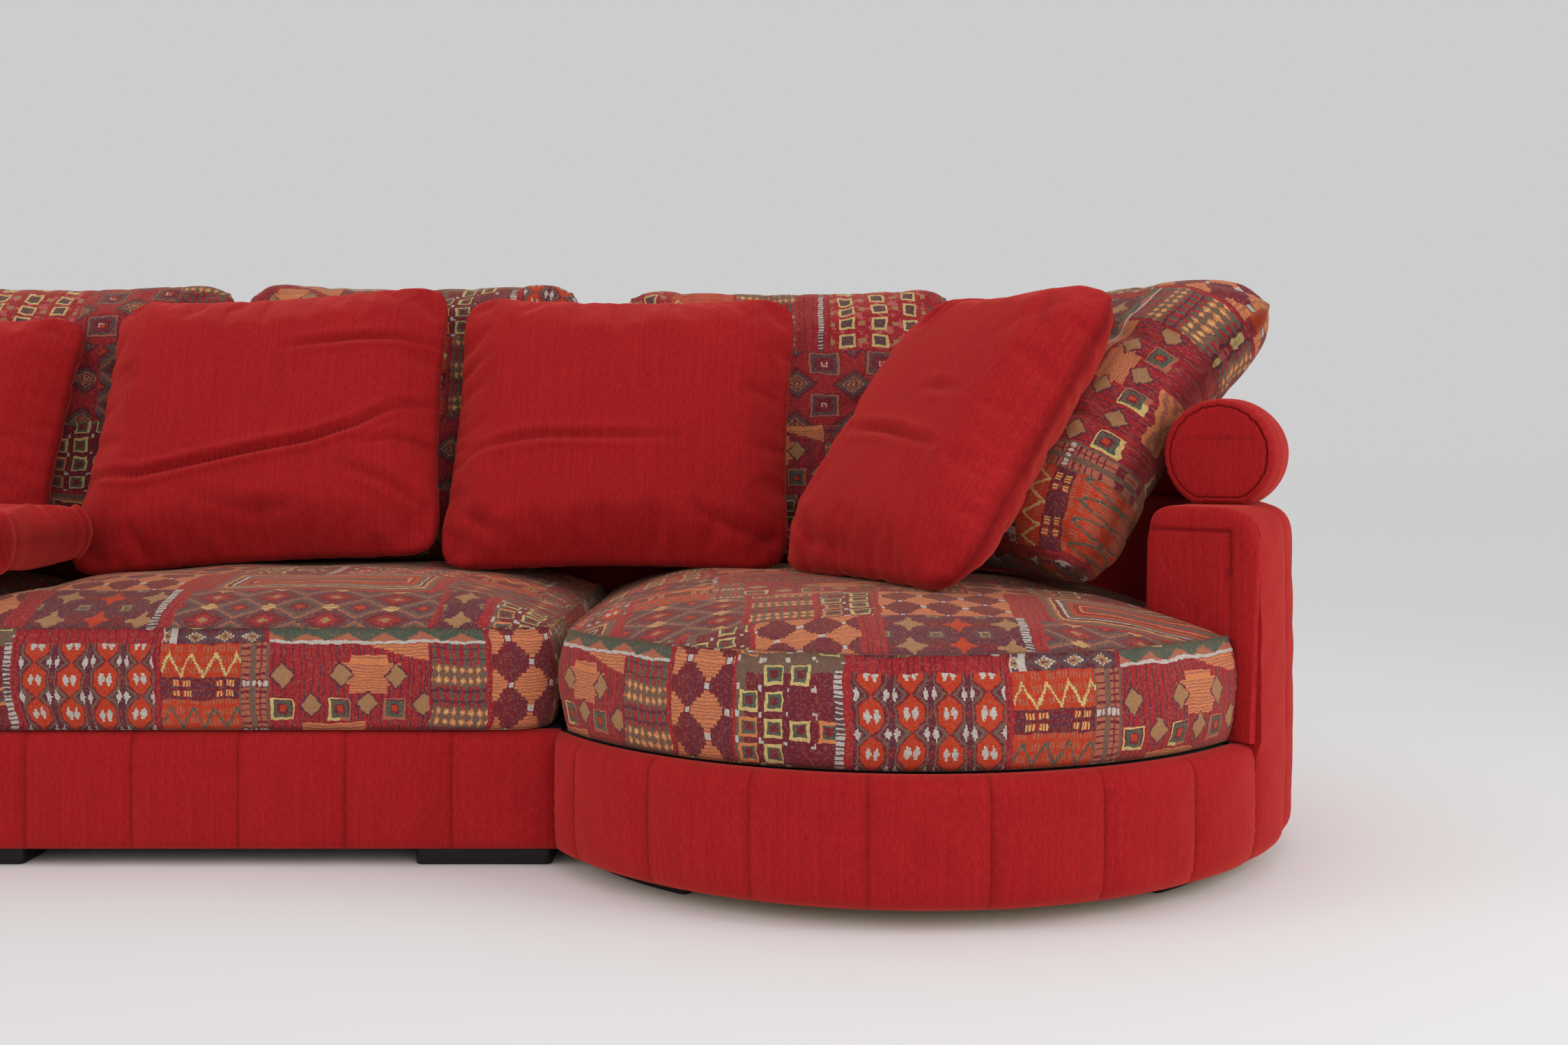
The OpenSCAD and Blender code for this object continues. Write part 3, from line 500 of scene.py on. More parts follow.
normal = np.stack([tangent[:, 1], -tangent[:, 0]], 1) / np.linalg.norm(tangent, axis=1, keepdims=True)
reach_in = np.where(spread[:, 1] < -0.173, 1.0, np.abs((spread * normal).sum(1)))
shares = np.concatenate([
    1 - np.array([0, 0.004, 0.012, 0.025, 0.04, 0.06, 0.08, 0.1, 0.12, 0.14, 0.155]),
    np.arange(0.835, 0.60, -0.008), [0.5, 0.35, 0.2, 0.1]])
inward = np.clip(1 - (1 - shares)[:, None] * reach_in / RIM, 0, 1)
height = DOME * (1 - inward**2.4) ** (1 / 2.4)
flat = spread * shares[:, None, None] + PANEL_MIDDLE
from_side, from_top = flat[..., 0] - LINE_FROM_SIDE, flat[..., 1] - (WALL_TOP - LINE_FROM_TOP)
to_line = np.minimum(np.hypot(from_side, np.maximum(from_top, 0)),
                     np.hypot(from_top, np.maximum(-from_side, 0)))
height -= LINE_DEPTH * bell(to_line, 0.0036)
wave = ripple(shares[:, None], np.linspace(0, 1, len(side)), 0.5, 0.12, 12)
height += PANEL_WAVE * wave * (height > 0.01)
along = np.array([math.cos(WALL_END), -math.sin(WALL_END), 0.0])
ahead = np.array([-math.sin(WALL_END), -math.cos(WALL_END), 0.0])
rings = (np.array([ROUND_X, 0.0, 0.0]) + (ROUND_R - flat[..., :1]) * along
         + height[..., None] * ahead + flat[..., 1:] * np.array([0.0, 0.0, 1.0]))
# The cloth is painted darker along the sewn line: painted shade in its groove.
end_panel = loft("round_wall_end_panel", rings, closed(flat), "round_module", RED, ["round_wall_end"],
                 bell(to_line, 0.0026))


# Decks
# Under the seat cushions a thin pad lies on the webbing, or on the round module's board, under
# a dark plain-woven lining that is stapled at its edges.
def lining(place):
    """Dark plain weave."""
    weave = place.woven(2900.0)
    return (place.noise(14.0) * 0.5 + 0.25).mix(tint("2A2627"), tint("3A3434")), weave, 0.0004


LINING = material("dark lining", lining, 0.95)


def evenly(outline, step):
    """Closed chain of points in even steps of its length."""
    chain = np.concatenate([outline, outline[:1]])
    run = lengths(chain)
    return points_at(chain, run, np.linspace(0, run[-1], round(run[-1] / step) + 1)[:-1])


def rectangle(low, high, corner, step):
    """Outline with quarter circles at its corners, in even steps from the lower left corner."""
    middles = [(low[0] + corner, low[1] + corner), (high[0] - corner, low[1] + corner),
               (high[0] - corner, high[1] - corner), (low[0] + corner, high[1] - corner)]
    turns = np.pi + np.arange(4)[:, None] * np.pi / 2 + np.linspace(0, np.pi / 2, 9)
    arcs = np.array(middles)[:, None] + corner * circle(turns)
    return evenly(arcs.reshape(-1, 2), step)


def levels(outline, centre, chain):
    """Rings of an outline drawn in towards its centre: chain holds shares and heights."""
    shares, heights = np.array(chain).T
    flat = centre + shares[:, None, None] * (outline - centre)
    return np.concatenate([flat, np.broadcast_to(heights[:, None, None], flat.shape[:2] + (1,))], 2)


def closed_cloth(rings):
    """Cloth places of rings seen from above."""
    return closed(rings)[..., :2]


DECK_BED = DECK_Z - 0.002
THIN_PAD = np.array([
    (0.6, 0.0), (0.97, 0.0), (0.99, 0.002), (0.998, 0.006), (0.995, 0.010), (0.985, 0.0125),
    (0.95, 0.0135), (0.8, 0.014), (0.6, 0.0145), (0.4, 0.0145), (0.2, 0.0145)])
for module, left in STRAIGHT_MODULES:
    low = np.array((left, FRONT_Y + COVER_T))
    high = np.array((left + MODULE_W, ROUND_R - WALL_T))
    rings = levels(rectangle(low, high, 0.004, 0.02), (low + high) / 2, THIN_PAD + (0, DECK_BED))
    pad = loft(f"{module}_lined_deck", rings, closed_cloth(rings), f"{module}_module", LINING,
               [f"{module}_deck_pad"])
radius = ROUND_R - COVER_T - 0.001
inside = ROUND_R - WALL_T - 0.001
outline = np.concatenate([
    radius * circle(np.linspace(np.pi + math.acos(ROUND_REACH / radius), 2 * np.pi - WALL_END, 90)),
    inside * circle(np.linspace(-WALL_END, np.pi / 2, 60)), [[-ROUND_REACH, inside]]])
ROUND_MIDDLE = np.array([ROUND_X - 0.07, -0.07])
rings = levels(evenly(outline + (ROUND_X, 0.0), 0.02), ROUND_MIDDLE, THIN_PAD + (0, DECK_BED))
pad = loft("round_lined_deck", rings, closed_cloth(rings), "round_module", LINING, ["round_deck_pad"])


# Feet
# Low black stained blocks with eased edges are screwed under the base, curved ones under the
# round module.
def black_stain(place):
    """Stained wood: long faint grain under a thin black film."""
    grain = place.noise(1.0, (18.0, 260.0, 1.0), 4.0)
    return grain.mix(tint("0D0B0A"), tint("1D1917")), grain, 0.0004


BLACK = material("black stain", black_stain, 0.5)
FOOT_L = 0.210
FOOT_D = 0.080
FOOT_INSET = 0.012
ROUND_FOOT_INSET = 0.072
FOOT_CORNER = 0.005
FOOT_STEP = 0.008
BLOCK = [(0.5, 0.0), (0.97, 0.0), (0.99, 0.0006), (1.0, 0.003), (1.0, 0.012), (1.0, 0.022),
         (0.992, 0.0246), (0.98, 0.025), (0.5, 0.025)]


def foot(name, outline, centre, body, node):
    rings = levels(outline, centre, BLOCK)
    loft(name, rings, closed_cloth(rings), body, BLACK, [node])


for module, left in (*STRAIGHT_MODULES, ("round", ROUND_X - ROUND_REACH)):
    for k, (side_x, side_y) in enumerate(((0, 0), (1, 0), (0, 1), (1, 1))):
        if module == "round" and k != 2:
            continue
        low = np.array((left + (MODULE_W - FOOT_L - 2 * FOOT_INSET) * side_x + FOOT_INSET,
                        FRONT_Y + (MODULE_D - FOOT_D - 2 * FOOT_INSET) * side_y + FOOT_INSET))
        high = low + (FOOT_L, FOOT_D)
        foot(f"{module}_foot_{k + 1}", rectangle(low, high, FOOT_CORNER, FOOT_STEP), (low + high) / 2,
             f"{module}_module", f"{module}_feet")
outer = ROUND_R - ROUND_FOOT_INSET
bent = rectangle((-FOOT_L / 2, 0), (FOOT_L / 2, FOOT_D), FOOT_CORNER, FOOT_STEP)
for k, degrees in enumerate((-136, -43, 43)):
    turn = math.radians(degrees) + bent[:, 0] / outer
    outline = (outer - FOOT_D + bent[:, 1:]) * circle(turn) + (ROUND_X, 0.0)
    foot(f"round_foot_{k + 1}", outline, outline.mean(0), "round_module", "round_feet")


# Bolsters
# Stuffed rolls lie bedded on the wall top. Each is one tube of red chenille, closed at both
# ends by a flat disc that is sewn in just inside the rim.
BOLSTER_R = 0.0875
BOLSTER_BED = 0.010
BOLSTER_Z = WALL_TOP + BOLSTER_R - BOLSTER_BED
WALL_AXIS = ROUND_R - WALL_T / 2
ROLL_INSET = 0.004
ROLL_STEP = 0.009
ROLL_WAVE = 0.0016
ROLL_PUCKER = 0.0013
MOST_PROUD = 0.0015
DISC_SEAM = 0.864
RIM_SEAM = 0.981
CREASE_SHADE_UP = 0.026
ROLL_END = [(0.0, share) for share in np.linspace(0.1, 0.82, 16)] + [
            (0.0012, 0.845), (0.0045, 0.86), (0.0045, 0.868),
            (0.001, 0.88), (0.0, 0.905), (0.002, 0.94), (0.006, 0.972), (0.012, 0.992), (0.018, 1.0),
            (0.0215, 0.999), (0.0230, 0.980), (0.0245, 0.999), (0.0300, 1.0), (0.0345, 0.999),
            (0.0360, 0.982), (0.0375, 0.999), (0.044, 1.0)]


def roll(name, length, where, body, node, seed):
    """Roll of a length along a path: where gives points and outward directions for distances from
    its start. Its section is a circle flattened where it lies, and drawn in to a seamed disc at
    the ends. Painted shade darkens the seams and a crease line across each disc."""
    inset, share = np.array(ROLL_END).T
    between = np.linspace(0.052, length - 0.052, int(length / ROLL_STEP))
    run = np.concatenate([inset, between, length - inset[::-1]])
    share = np.concatenate([share, np.ones_like(between), share[::-1]])
    around = np.linspace(0, 2 * np.pi, 97)[:-1]
    flat_foot = (BOLSTER_R - BOLSTER_BED) / np.maximum(-np.sin(around), 1e-3)
    section = np.minimum(BOLSTER_R, flat_foot)
    from_end = np.minimum(run, length - run)[:, None]
    body_part = (share > 0.99)[:, None]
    uneven = ROLL_WAVE * ripple(run[:, None], around, 0.22, 2.6, seed) * body_part
    pucker = ROLL_PUCKER * ripple(run[:, None], around, 0.5, 0.21, seed + 1) * np.exp(-from_end / 0.03)
    section = section * share[:, None] + np.minimum(uneven + pucker, MOST_PROUD)
    point, out = where(run)
    offset, lift = section * np.cos(around), section * np.sin(around)
    rings = np.empty(section.shape + (3,))
    rings[..., :2] = point[:, None] + out[:, None] * offset[..., None]
    rings[..., 2] = BOLSTER_Z + lift
    girth = np.append(around, 2 * np.pi) * BOLSTER_R
    cloth = np.stack(np.broadcast_arrays(girth, run[:, None]), 2)
    disc = closed(np.stack([offset, lift], 2))
    cloth = np.where((share < DISC_SEAM - 0.002)[:, None, None], disc, cloth)
    # Painted shade along the end seams, and along a painted crease line across each end disc.
    seam = (bell(share - DISC_SEAM, 0.008) + bell(share - RIM_SEAM, 0.004))[:, None]
    crease_shade = bell(lift - CREASE_SHADE_UP, 0.0035) * (share < 0.80)[:, None]
    seam = seam + 0.5 * crease_shade * np.exp(-((offset / 0.05) ** 4))
    made = loft(name, rings, cloth, body, RED, [node], seam)


for module, left in STRAIGHT_MODULES:
    def straight_path(run, start=left + ROLL_INSET):
        point = np.stack([start + run, np.full_like(run, WALL_AXIS)], 1)
        return point, np.broadcast_to((0.0, 1.0), point.shape)

    roll(f"{module}_roll", MODULE_W - 2 * ROLL_INSET, straight_path, f"{module}_module",
         f"{module}_bolster", 31)


def round_path(run):
    """Straight along the back from the joining face, then round the arc to the wall's end."""
    past_turn = run - ROUND_REACH + ROLL_INSET
    out = circle(np.pi / 2 - np.maximum(past_turn, 0) / WALL_AXIS)
    point = WALL_AXIS * out + (ROUND_X, 0.0)
    point[:, 0] += np.minimum(past_turn, 0)
    return point, out


past_roll = 0.072
roll_end = WALL_END - past_roll / WALL_AXIS
roll_length = ROUND_REACH - ROLL_INSET + (np.pi / 2 + roll_end) * WALL_AXIS
roll("round_roll", roll_length, round_path, "round_module", "round_bolster", 33)


# Seat cushions
# Thick foam cushions in a flat-woven patchwork tapestry. A boxing strip with welted seams runs
# round the sides, and the top rises in a soft crown. All three are cut from the same cloth.
CRIMSON, MAROON, PLUM = tint("A3202D"), tint("74202F"), tint("61283A")
FLAME, SALMON, TAN = tint("C0391F"), tint("D98453"), tint("A87D57")
ROSE, TAUPE, SLATE = tint("B0654F"), tint("70584C"), tint("5C4248")
SPRUCE, STRAW, CHALK = tint("4C5A4E"), tint("D3BB78"), tint("C4BDB4")


def bands(value, stops):
    """Stepped colours of a value: each stop holds where its colour begins."""
    made = value.tree.nodes.new("ShaderNodeValToRGB")
    ramp = made.color_ramp
    ramp.interpolation = "CONSTANT"
    for k, (start, colour) in enumerate(stops):
        stop = ramp.elements[k] if k < 2 else ramp.elements.new(start)
        stop.position = start
        stop.color = colour
    value.tree.links.new(value.socket, made.inputs[0])
    return Shade(value.tree, made.outputs[0])


def painted(ground, *coats):
    """A ground under coats, each a mask and its colour."""
    for mask, colour in coats:
        ground = mask.mix(ground, colour)
    return ground


def ikat(x, y):
    """Pairs of white lozenges, every second staggered row inside a flame-coloured hexagon."""
    dx, dy = x.near(0.053), y.near(0.054)
    ex, ey = 0.0265 - dx, 0.027 - dy
    ground = (x.near(0.0066) < 0.0009).mix(MAROON, CRIMSON)
    hexagon = (ex / 0.0165).max((ex + ey) / 0.027)
    plain = abs(dx - 0.0058) / 0.0046 + dy / 0.0100 < 1.0
    ringed = abs(ex - 0.0058) / 0.0050 + ey / 0.0110 < 1.0
    return painted(ground, (dx / 0.020 + dy / 0.024 < 1.0, PLUM), (hexagon < 1.35, TAUPE),
                   (hexagon < 1.15, MAROON), (hexagon < 1.0, FLAME), (plain | ringed, CHALK))


def zigzags(x, y):
    """A straw zigzag above and a green one below, with a barred band between them."""
    wave = x.near(0.034) * 1.9
    tick = (x.near(0.0052) < 0.0010) & (y.near(0.016) < 0.0045)
    from_middle = abs(y - 0.067)
    bars = (from_middle.near(0.012) < 0.0030).mix(PLUM, MAROON)
    check = (abs(x.near(0.068) - 0.026) < 0.0062) & (abs(from_middle - 0.008) < 0.0045)
    dotted = check & (x.near(0.0048) < 0.0012)
    band = painted(bars, (check, FLAME), (dotted, STRAW))
    return painted(tick.mix(FLAME, ROSE), (abs(y - 0.088 - wave) < 0.0038, STRAW),
                   (abs(y - 0.006 - wave) < 0.0036, SPRUCE), (from_middle < 0.0175, band))


def dotted_strip(x, y):
    """Upright maroon and grey-brown columns of small checks, with two rows of white dots."""
    column = x.near(0.024)
    check = (abs(column - 0.008) < 0.0036) & (y.near(0.0095) < 0.0030)
    dots = (abs(y.near(0.076) - 0.002) < 0.0026) & (x.near(0.0085) < 0.0026)
    return painted((column < 0.0045).mix(MAROON, TAUPE), (check, ROSE), (dots, CHALK))


def blocks(x, y):
    """Tan lozenges, outlined squares and a stepped orange block on maroon."""
    lines = (y.near(0.0048) < 0.0010).mix(SALMON, ROSE)
    ground = (x.near(0.0060) < 0.0008).mix(CRIMSON, PLUM)
    slope = (y > 0.136 - (x - 0.15) * 0.30) & (x > 0.15)
    body = (abs(x - 0.152) < 0.050) & (abs(y - 0.090) < 0.017)
    wings = (abs(x - 0.152) < 0.030) & (abs(y - 0.090) < 0.030)
    strip = (y < 0.013) & (abs(x - 0.10) < 0.05)
    sx = (x - 0.0205).near(0.0875)
    dy = abs(y - 0.088)
    upper = sx / 0.0165 + dy / 0.0185
    lower = (0.04375 - sx) / 0.0165 + abs(y - 0.043) / 0.0185
    lozenge = upper.min(lower)
    square = sx.max(abs(y - 0.036))
    yellow = ((x - 0.0205) * 5.7143).math("ROUND").math("PINGPONG", 1.0)
    rings = bands(square * 20.0, [(0.0, FLAME), (0.09, MAROON), (0.15, SPRUCE), (0.26, PLUM)])
    return painted(ground, (slope, lines), (body | wings | strip, lines), (lozenge < 1.22, PLUM),
                   (lozenge < 1.0, TAN), (square < 0.0170, yellow.mix(STRAW, ROSE)),
                   (square < 0.0140, rings))


def striped(x, y):
    """Rows of small orange lozenges between rows of red and green upright bars."""
    lozenge = x.near(0.0125) / 0.0062 + y.near(0.0160) / 0.0080
    dots = bands(lozenge * 0.5, [(0.0, STRAW), (0.20, SALMON), (0.42, TAUPE)])
    bars = (x.near(0.0125) < 0.0036).mix(SPRUCE, CRIMSON)
    bars = (y.near(0.0160) < 0.0016).mix(bars, PLUM)
    return ((y + 0.008).near(0.0640) < 0.0160).mix(dots, bars)


def medallions(x, y):
    """Stepped lozenges, salmon and maroon in turn, with a white square where four meet."""
    dx, dy = x.near(0.062), y.near(0.072)
    stepped = dx.snap(0.0052) / 0.031 + dy.snap(0.0060) / 0.036
    lines = (y.near(0.0050) < 0.0011).mix(SALMON, ROSE)
    plum = (x.near(0.0068) < 0.0009).mix(MAROON, PLUM)
    chalk = ((dx < 0.0042) & (dy > 0.0315)) | ((dx > 0.0268) & (dy < 0.0045))
    return painted(plum, (stepped < 0.80, lines), (chalk, CHALK))


def squares(x, y):
    """Outlined squares, some left out and some yellow, with small white ones between, on plum."""
    chance = x.snap(0.039).joined(y.snap(0.037)).chance()
    from_middle = (0.0195 - x.near(0.039)).max(0.0185 - y.near(0.037))
    ground = (x.near(0.0068) < 0.0009).mix(MAROON, PLUM)
    inside = (from_middle < 0.0060).mix(SPRUCE, MAROON)
    outlined = (from_middle < 0.0100).mix((chance < 0.45).mix(SALMON, STRAW), inside)
    shown = (from_middle < 0.0135) & (chance < 0.66)
    small = (x.near(0.039) < 0.0042) & (y.near(0.037) < 0.0042) & (chance > 0.40)
    return painted(ground, ((x < 0.014) | (y > 0.132), TAUPE), (shown, outlined), (small, CHALK))


def cloud_squares(x, y):
    """Rows of straw-outlined grey squares on clouded crimson."""
    ground = (x.joined(y).noise(60.0) > 0.56).mix(CRIMSON, tint("C25A5E"))
    dx, dy = (0.0315 - x.near(0.063)) / 1.15, 0.0185 - y.near(0.037)
    square = dx.max(dy)
    small = (x.near(0.063) < 0.0065) & (abs(y.near(0.074) - 0.018) < 0.0055)
    return painted(ground, (square < 0.0135, STRAW), (square < 0.0092, SLATE), (small, TAN))


def stars(x, y):
    """Eight-pointed tan and flame stars, ringed squares with green middles, on plum."""
    dx, dy = 0.035 - x.near(0.070), 0.035 - y.near(0.070)
    wide, slant = dx.max(dy), dx + dy
    star = wide.min(slant * 0.72)
    inner = dx.min(dy) * 1.9 + wide * 0.62
    odd = (x * 14.2857).math("FLOOR").math("PINGPONG", 1.0)
    points = (star.max(inner) < 0.0185) | (wide < 0.0105)
    ground = points.mix(PLUM, odd.mix(TAN, FLAME))
    ex, ey = x.near(0.070), y.near(0.070)
    lozenge = ex / 0.0155 + abs(ey - 0.035) / 0.0155
    square = ex.max(ey)
    ringed = bands(square * 20.0, [(0.0, SPRUCE), (0.10, TAN), (0.16, SLATE)])
    return painted(ground, (lozenge < 1.0, MAROON), (square < 0.0125, ringed))


def lozenges(x, y):
    """Nested grey lozenges, maroon ones between them, and small straw triangles at the edges."""
    dx, dy = x.near(0.096), y.near(0.070)
    large = dx / 0.048 + dy / 0.035
    nested = bands(large * 0.5, [
        (0.0, FLAME), (0.10, MAROON), (0.19, SLATE), (0.32, TAUPE), (0.42, ROSE), (0.47, SLATE),
        (0.60, MAROON), (0.78, CRIMSON), (0.90, TAN)])
    edge = (0.048 - dx) / 0.015 + dy / 0.012
    straw = (y.near(0.0050) < 0.0012).mix(STRAW, ROSE)
    return (edge < 1.0).mix(nested, straw)


def framed(x, y):
    """Long rectangles inside one another, drawn in pale, grey and orange-red lines."""
    inset = x.near(0.370).min(y.near(0.155))
    return bands(inset * 10.0, [
        (0.0, CRIMSON), (0.06, TAUPE), (0.16, ROSE), (0.20, STRAW), (0.225, MAROON), (0.30, CHALK),
        (0.325, TAUPE), (0.42, FLAME), (0.50, MAROON), (0.56, SALMON), (0.62, CRIMSON), (0.70, SPRUCE)])


def triangles(x, y):
    """Green band with rose triangles and a pale line under it."""
    peak = y - 0.139 < (0.030 - x.near(0.060)) * 0.42
    ground = peak.mix(SPRUCE, ROSE)
    return (abs(y - 0.138) < 0.0016).mix(ground, CHALK)


def chips(x, y):
    """Short band of tan lozenges on slate, checked in white at its start."""
    lozenge = (x - 0.010).near(0.044) / 0.016 + abs(y - 0.146) / 0.0085
    ground = bands(lozenge * 0.5, [
        (0.0, SLATE), (0.14, TAN), (0.36, CHALK), (0.46, SLATE), (0.85, PLUM)])
    check = (x < 0.034) & (x.near(0.020) < 0.0050)
    return check.mix(ground, CHALK)


def ladder(x, y):
    """Narrow slate band with pale rungs."""
    return (y.near(0.0068) < 0.0019).mix(SLATE, CHALK)


def garden(x, y):
    """Straw-lined lozenges on slate between dark boxes in rose frames, on maroon."""
    dx, dy = x.near(0.110), y.near(0.084)
    lozenge = dx / 0.055 + dy / 0.042
    nested = bands(lozenge, [(0.0, TAN), (0.10, MAROON), (0.18, TAN), (0.25, MAROON), (0.34, TAN),
                             (0.41, SLATE), (0.62, MAROON), (0.80, CRIMSON)])
    inset = (0.055 - dx).max((0.042 - dy) * 1.3)
    box = bands(inset * 20.0, [
        (0.0, FLAME), (0.08, CHALK), (0.11, MAROON), (0.34, SLATE), (0.50, ROSE), (0.56, MAROON)])
    return (inset < 0.032).mix(nested, box)


PANELS = [None, ikat, zigzags, dotted_strip, blocks, striped, medallions, squares, cloud_squares, stars,
          lozenges, framed, triangles, chips, ladder, garden]
FRONT_ROW = [
    (0.0, ikat), (0.205, None), (0.216, zigzags), (0.338, dotted_strip), (0.386, blocks), (0.630, None),
    (0.635, striped), (0.722, None), (0.727, medallions), (0.828, None), (0.832, squares),
    (0.976, ladder), (0.988, None)]
STRIP_ROW = [
    (0.0, None), (0.216, chips), (0.378, None), (0.386, triangles), (0.722, None),
    (0.727, medallions), (0.828, None), (0.832, squares), (0.988, None)]
TOP_ROW = [
    (0.0, stars), (0.190, ladder), (0.203, None), (0.220, lozenges), (0.622, None), (0.634, stars),
    (0.702, None), (0.722, squares), (0.812, None), (0.820, medallions), (0.962, None)]
FRAME_ROW = [
    (0.0, medallions), (0.190, None), (0.240, framed), (0.610, None), (0.625, lozenges), (0.800, None),
    (0.812, striped), (0.900, None), (0.912, squares), (0.988, None)]
GARDEN_ROW = [
    (0.0, stars), (0.190, ladder), (0.200, None), (0.220, garden), (0.622, None), (0.634, garden),
    (0.760, None), (0.770, lozenges), (0.962, None)]
CLOUD_ROW = [
    (0.0, None), (0.034, ladder), (0.042, None), (0.058, cloud_squares), (0.247, None), (0.260, garden),
    (0.440, striped), (0.530, None), (0.540, cloud_squares), (0.729, None), (0.740, zigzags),
    (0.862, None), (0.870, striped), (0.985, None)]


def shifted(row, by):
    """A row moved along the cloth, which repeats every metre."""
    return sorted(((start + by) % 1.0, panel) for start, panel in row)


# Where each row of panels starts across the cloth, and where its drawings count from
ROWS = [
    (0.0, 0.0, FRONT_ROW), (0.136, 0.0, STRIP_ROW), (0.158, 0.158, TOP_ROW), (0.297, 0.297, FRAME_ROW),
    (0.452, 0.452, shifted(FRONT_ROW, 0.41)), (0.590, 0.590, shifted(GARDEN_ROW, 0.55)),
    (0.742, 0.742, CLOUD_ROW)]
CLOTH_REPEAT = 0.900
STITCH = 0.0023
# The ramps hold a panel's number as a share of this.
CHOICES = 20


def tapestry(place):
    """Colour of the patchwork: rows of panels, each panel's drawing placed from its own corner, in
    steps of one stitch, and the weave sways a few millimetres. A stepped ramp along every row holds
    the panel's number and its start."""
    parts = place.split(0, 1)
    sway = [place.noise(1.0, (9.0, 13.0, 1.0)) * 0.016 + place.noise(1.0, (95.0, 70.0, 1.0)) * 0.007,
            place.noise(1.0, (12.0, 8.0, 1.0)) * 0.016 + place.noise(1.0, (70.0, 95.0, 1.0)) * 0.007]
    u, v = [(part + bend - 0.0115).snap(STITCH) + STITCH / 2 for part, bend in zip(parts, sway)]
    repeat = u.math("FLOORED_MODULO", 1.0)
    across = v.math("FLOORED_MODULO", CLOTH_REPEAT)
    choice, origin, last = None, 0.0, 0.0
    for start, drawn_from, row in ROWS:
        if row[0][0] > 0.0:
            at, panel = row[-1]
            row = [(at - 1.0, panel), *row]
        here = bands(repeat, [
            (max(at, 0.0), (PANELS.index(panel) / CHOICES, (at + 0.5) / 2, 0.0, 1.0))
            for at, panel in row])
        if choice is None:
            choice = here
            continue
        inside = across > start
        choice = inside.mix(choice, here)
        origin = inside * (drawn_from - last) + origin
        last = drawn_from
    number, begins = (choice.node("ShaderNodeSeparateColor", {}, {0: choice}, k) for k in (0, 1))
    x = repeat - (begins * 2.0 - 0.5)
    y = across - origin
    colour = (x.near(0.0060) < 0.0006).mix(CRIMSON, MAROON)
    for k, panel in enumerate(PANELS):
        if panel:
            chosen = number.math("COMPARE", k / CHOICES, 0.02)
            colour = chosen.mix(colour, panel(x, y))
    speck = u.joined(v).chance()
    fade = place.noise(1.0, (7.0, 6.0, 1.0), 3.0)
    rib = parts[0].near(STITCH) * 400.0
    yarn = place.noise(1.0, (260.0, 900.0, 1.0), 2.0)
    level = 0.60 + speck * 0.26 + fade * 0.24 + yarn * 0.16 + rib * 0.14
    flecked = ((speck > 0.80) * 0.40).mix(colour, tint("8C5A44"))
    faded = (fade * 0.12 + 0.03).mix(flecked, tint("7A5F50"))
    # Darker in the welted seams, the rims and the folds: painted shade, which also stands for the stitch
    # lines.
    return faded.dimmed(level * (1.0 - seam_mark(place) * 0.5)), rib + yarn * 0.6 + speck * 0.3, 0.0010


TAPESTRY = material("patchwork tapestry", tapestry, 0.95, 0.25, "FFC9A8", 0.08)
SEAT_Z = BASE_TOP + REST_GAP
SEAT_CROWN = 0.066
SEAT_CORNER = 0.060
BOXING_SHARE = 0.972
BOXING_TOP = 0.155
LOWER_SEAM = 0.004
UPPER_SEAM = 0.1583
CROWN_WAVE = 0.0030
SIDE_WAVE = 0.0030
SEAM_PULL = 0.0022


def seat_levels():
    """Shares of the outline and heights: flat foot, boxing that bows out between its two welts,
    then the crown, which rises as 1 - (share / BOXING_SHARE)^4."""
    foot = [(0.3, 0.0), (0.6, 0.0), (0.85, 0.0), (0.94, 0.0), (0.966, 0.0015), (0.974, 0.004)]
    bow = [(BOXING_SHARE + 0.026 * math.sin(math.pi * t) ** 0.55, 0.006 + 0.146 * t)
           for t in np.linspace(0.03, 0.97, 22)]
    welt = [(0.9755, 0.1535), (0.9775, 0.1565), (0.974, 0.1590), (0.9695, 0.1588)]
    shares = 0.966 * (1 - np.linspace(0, 1, 44)[1:-1] ** 1.35)
    crown = [(share, BOXING_TOP + SEAT_CROWN * (1 - (share / BOXING_SHARE) ** 4)) for share in shares]
    return np.array(foot + bow + welt + crown)


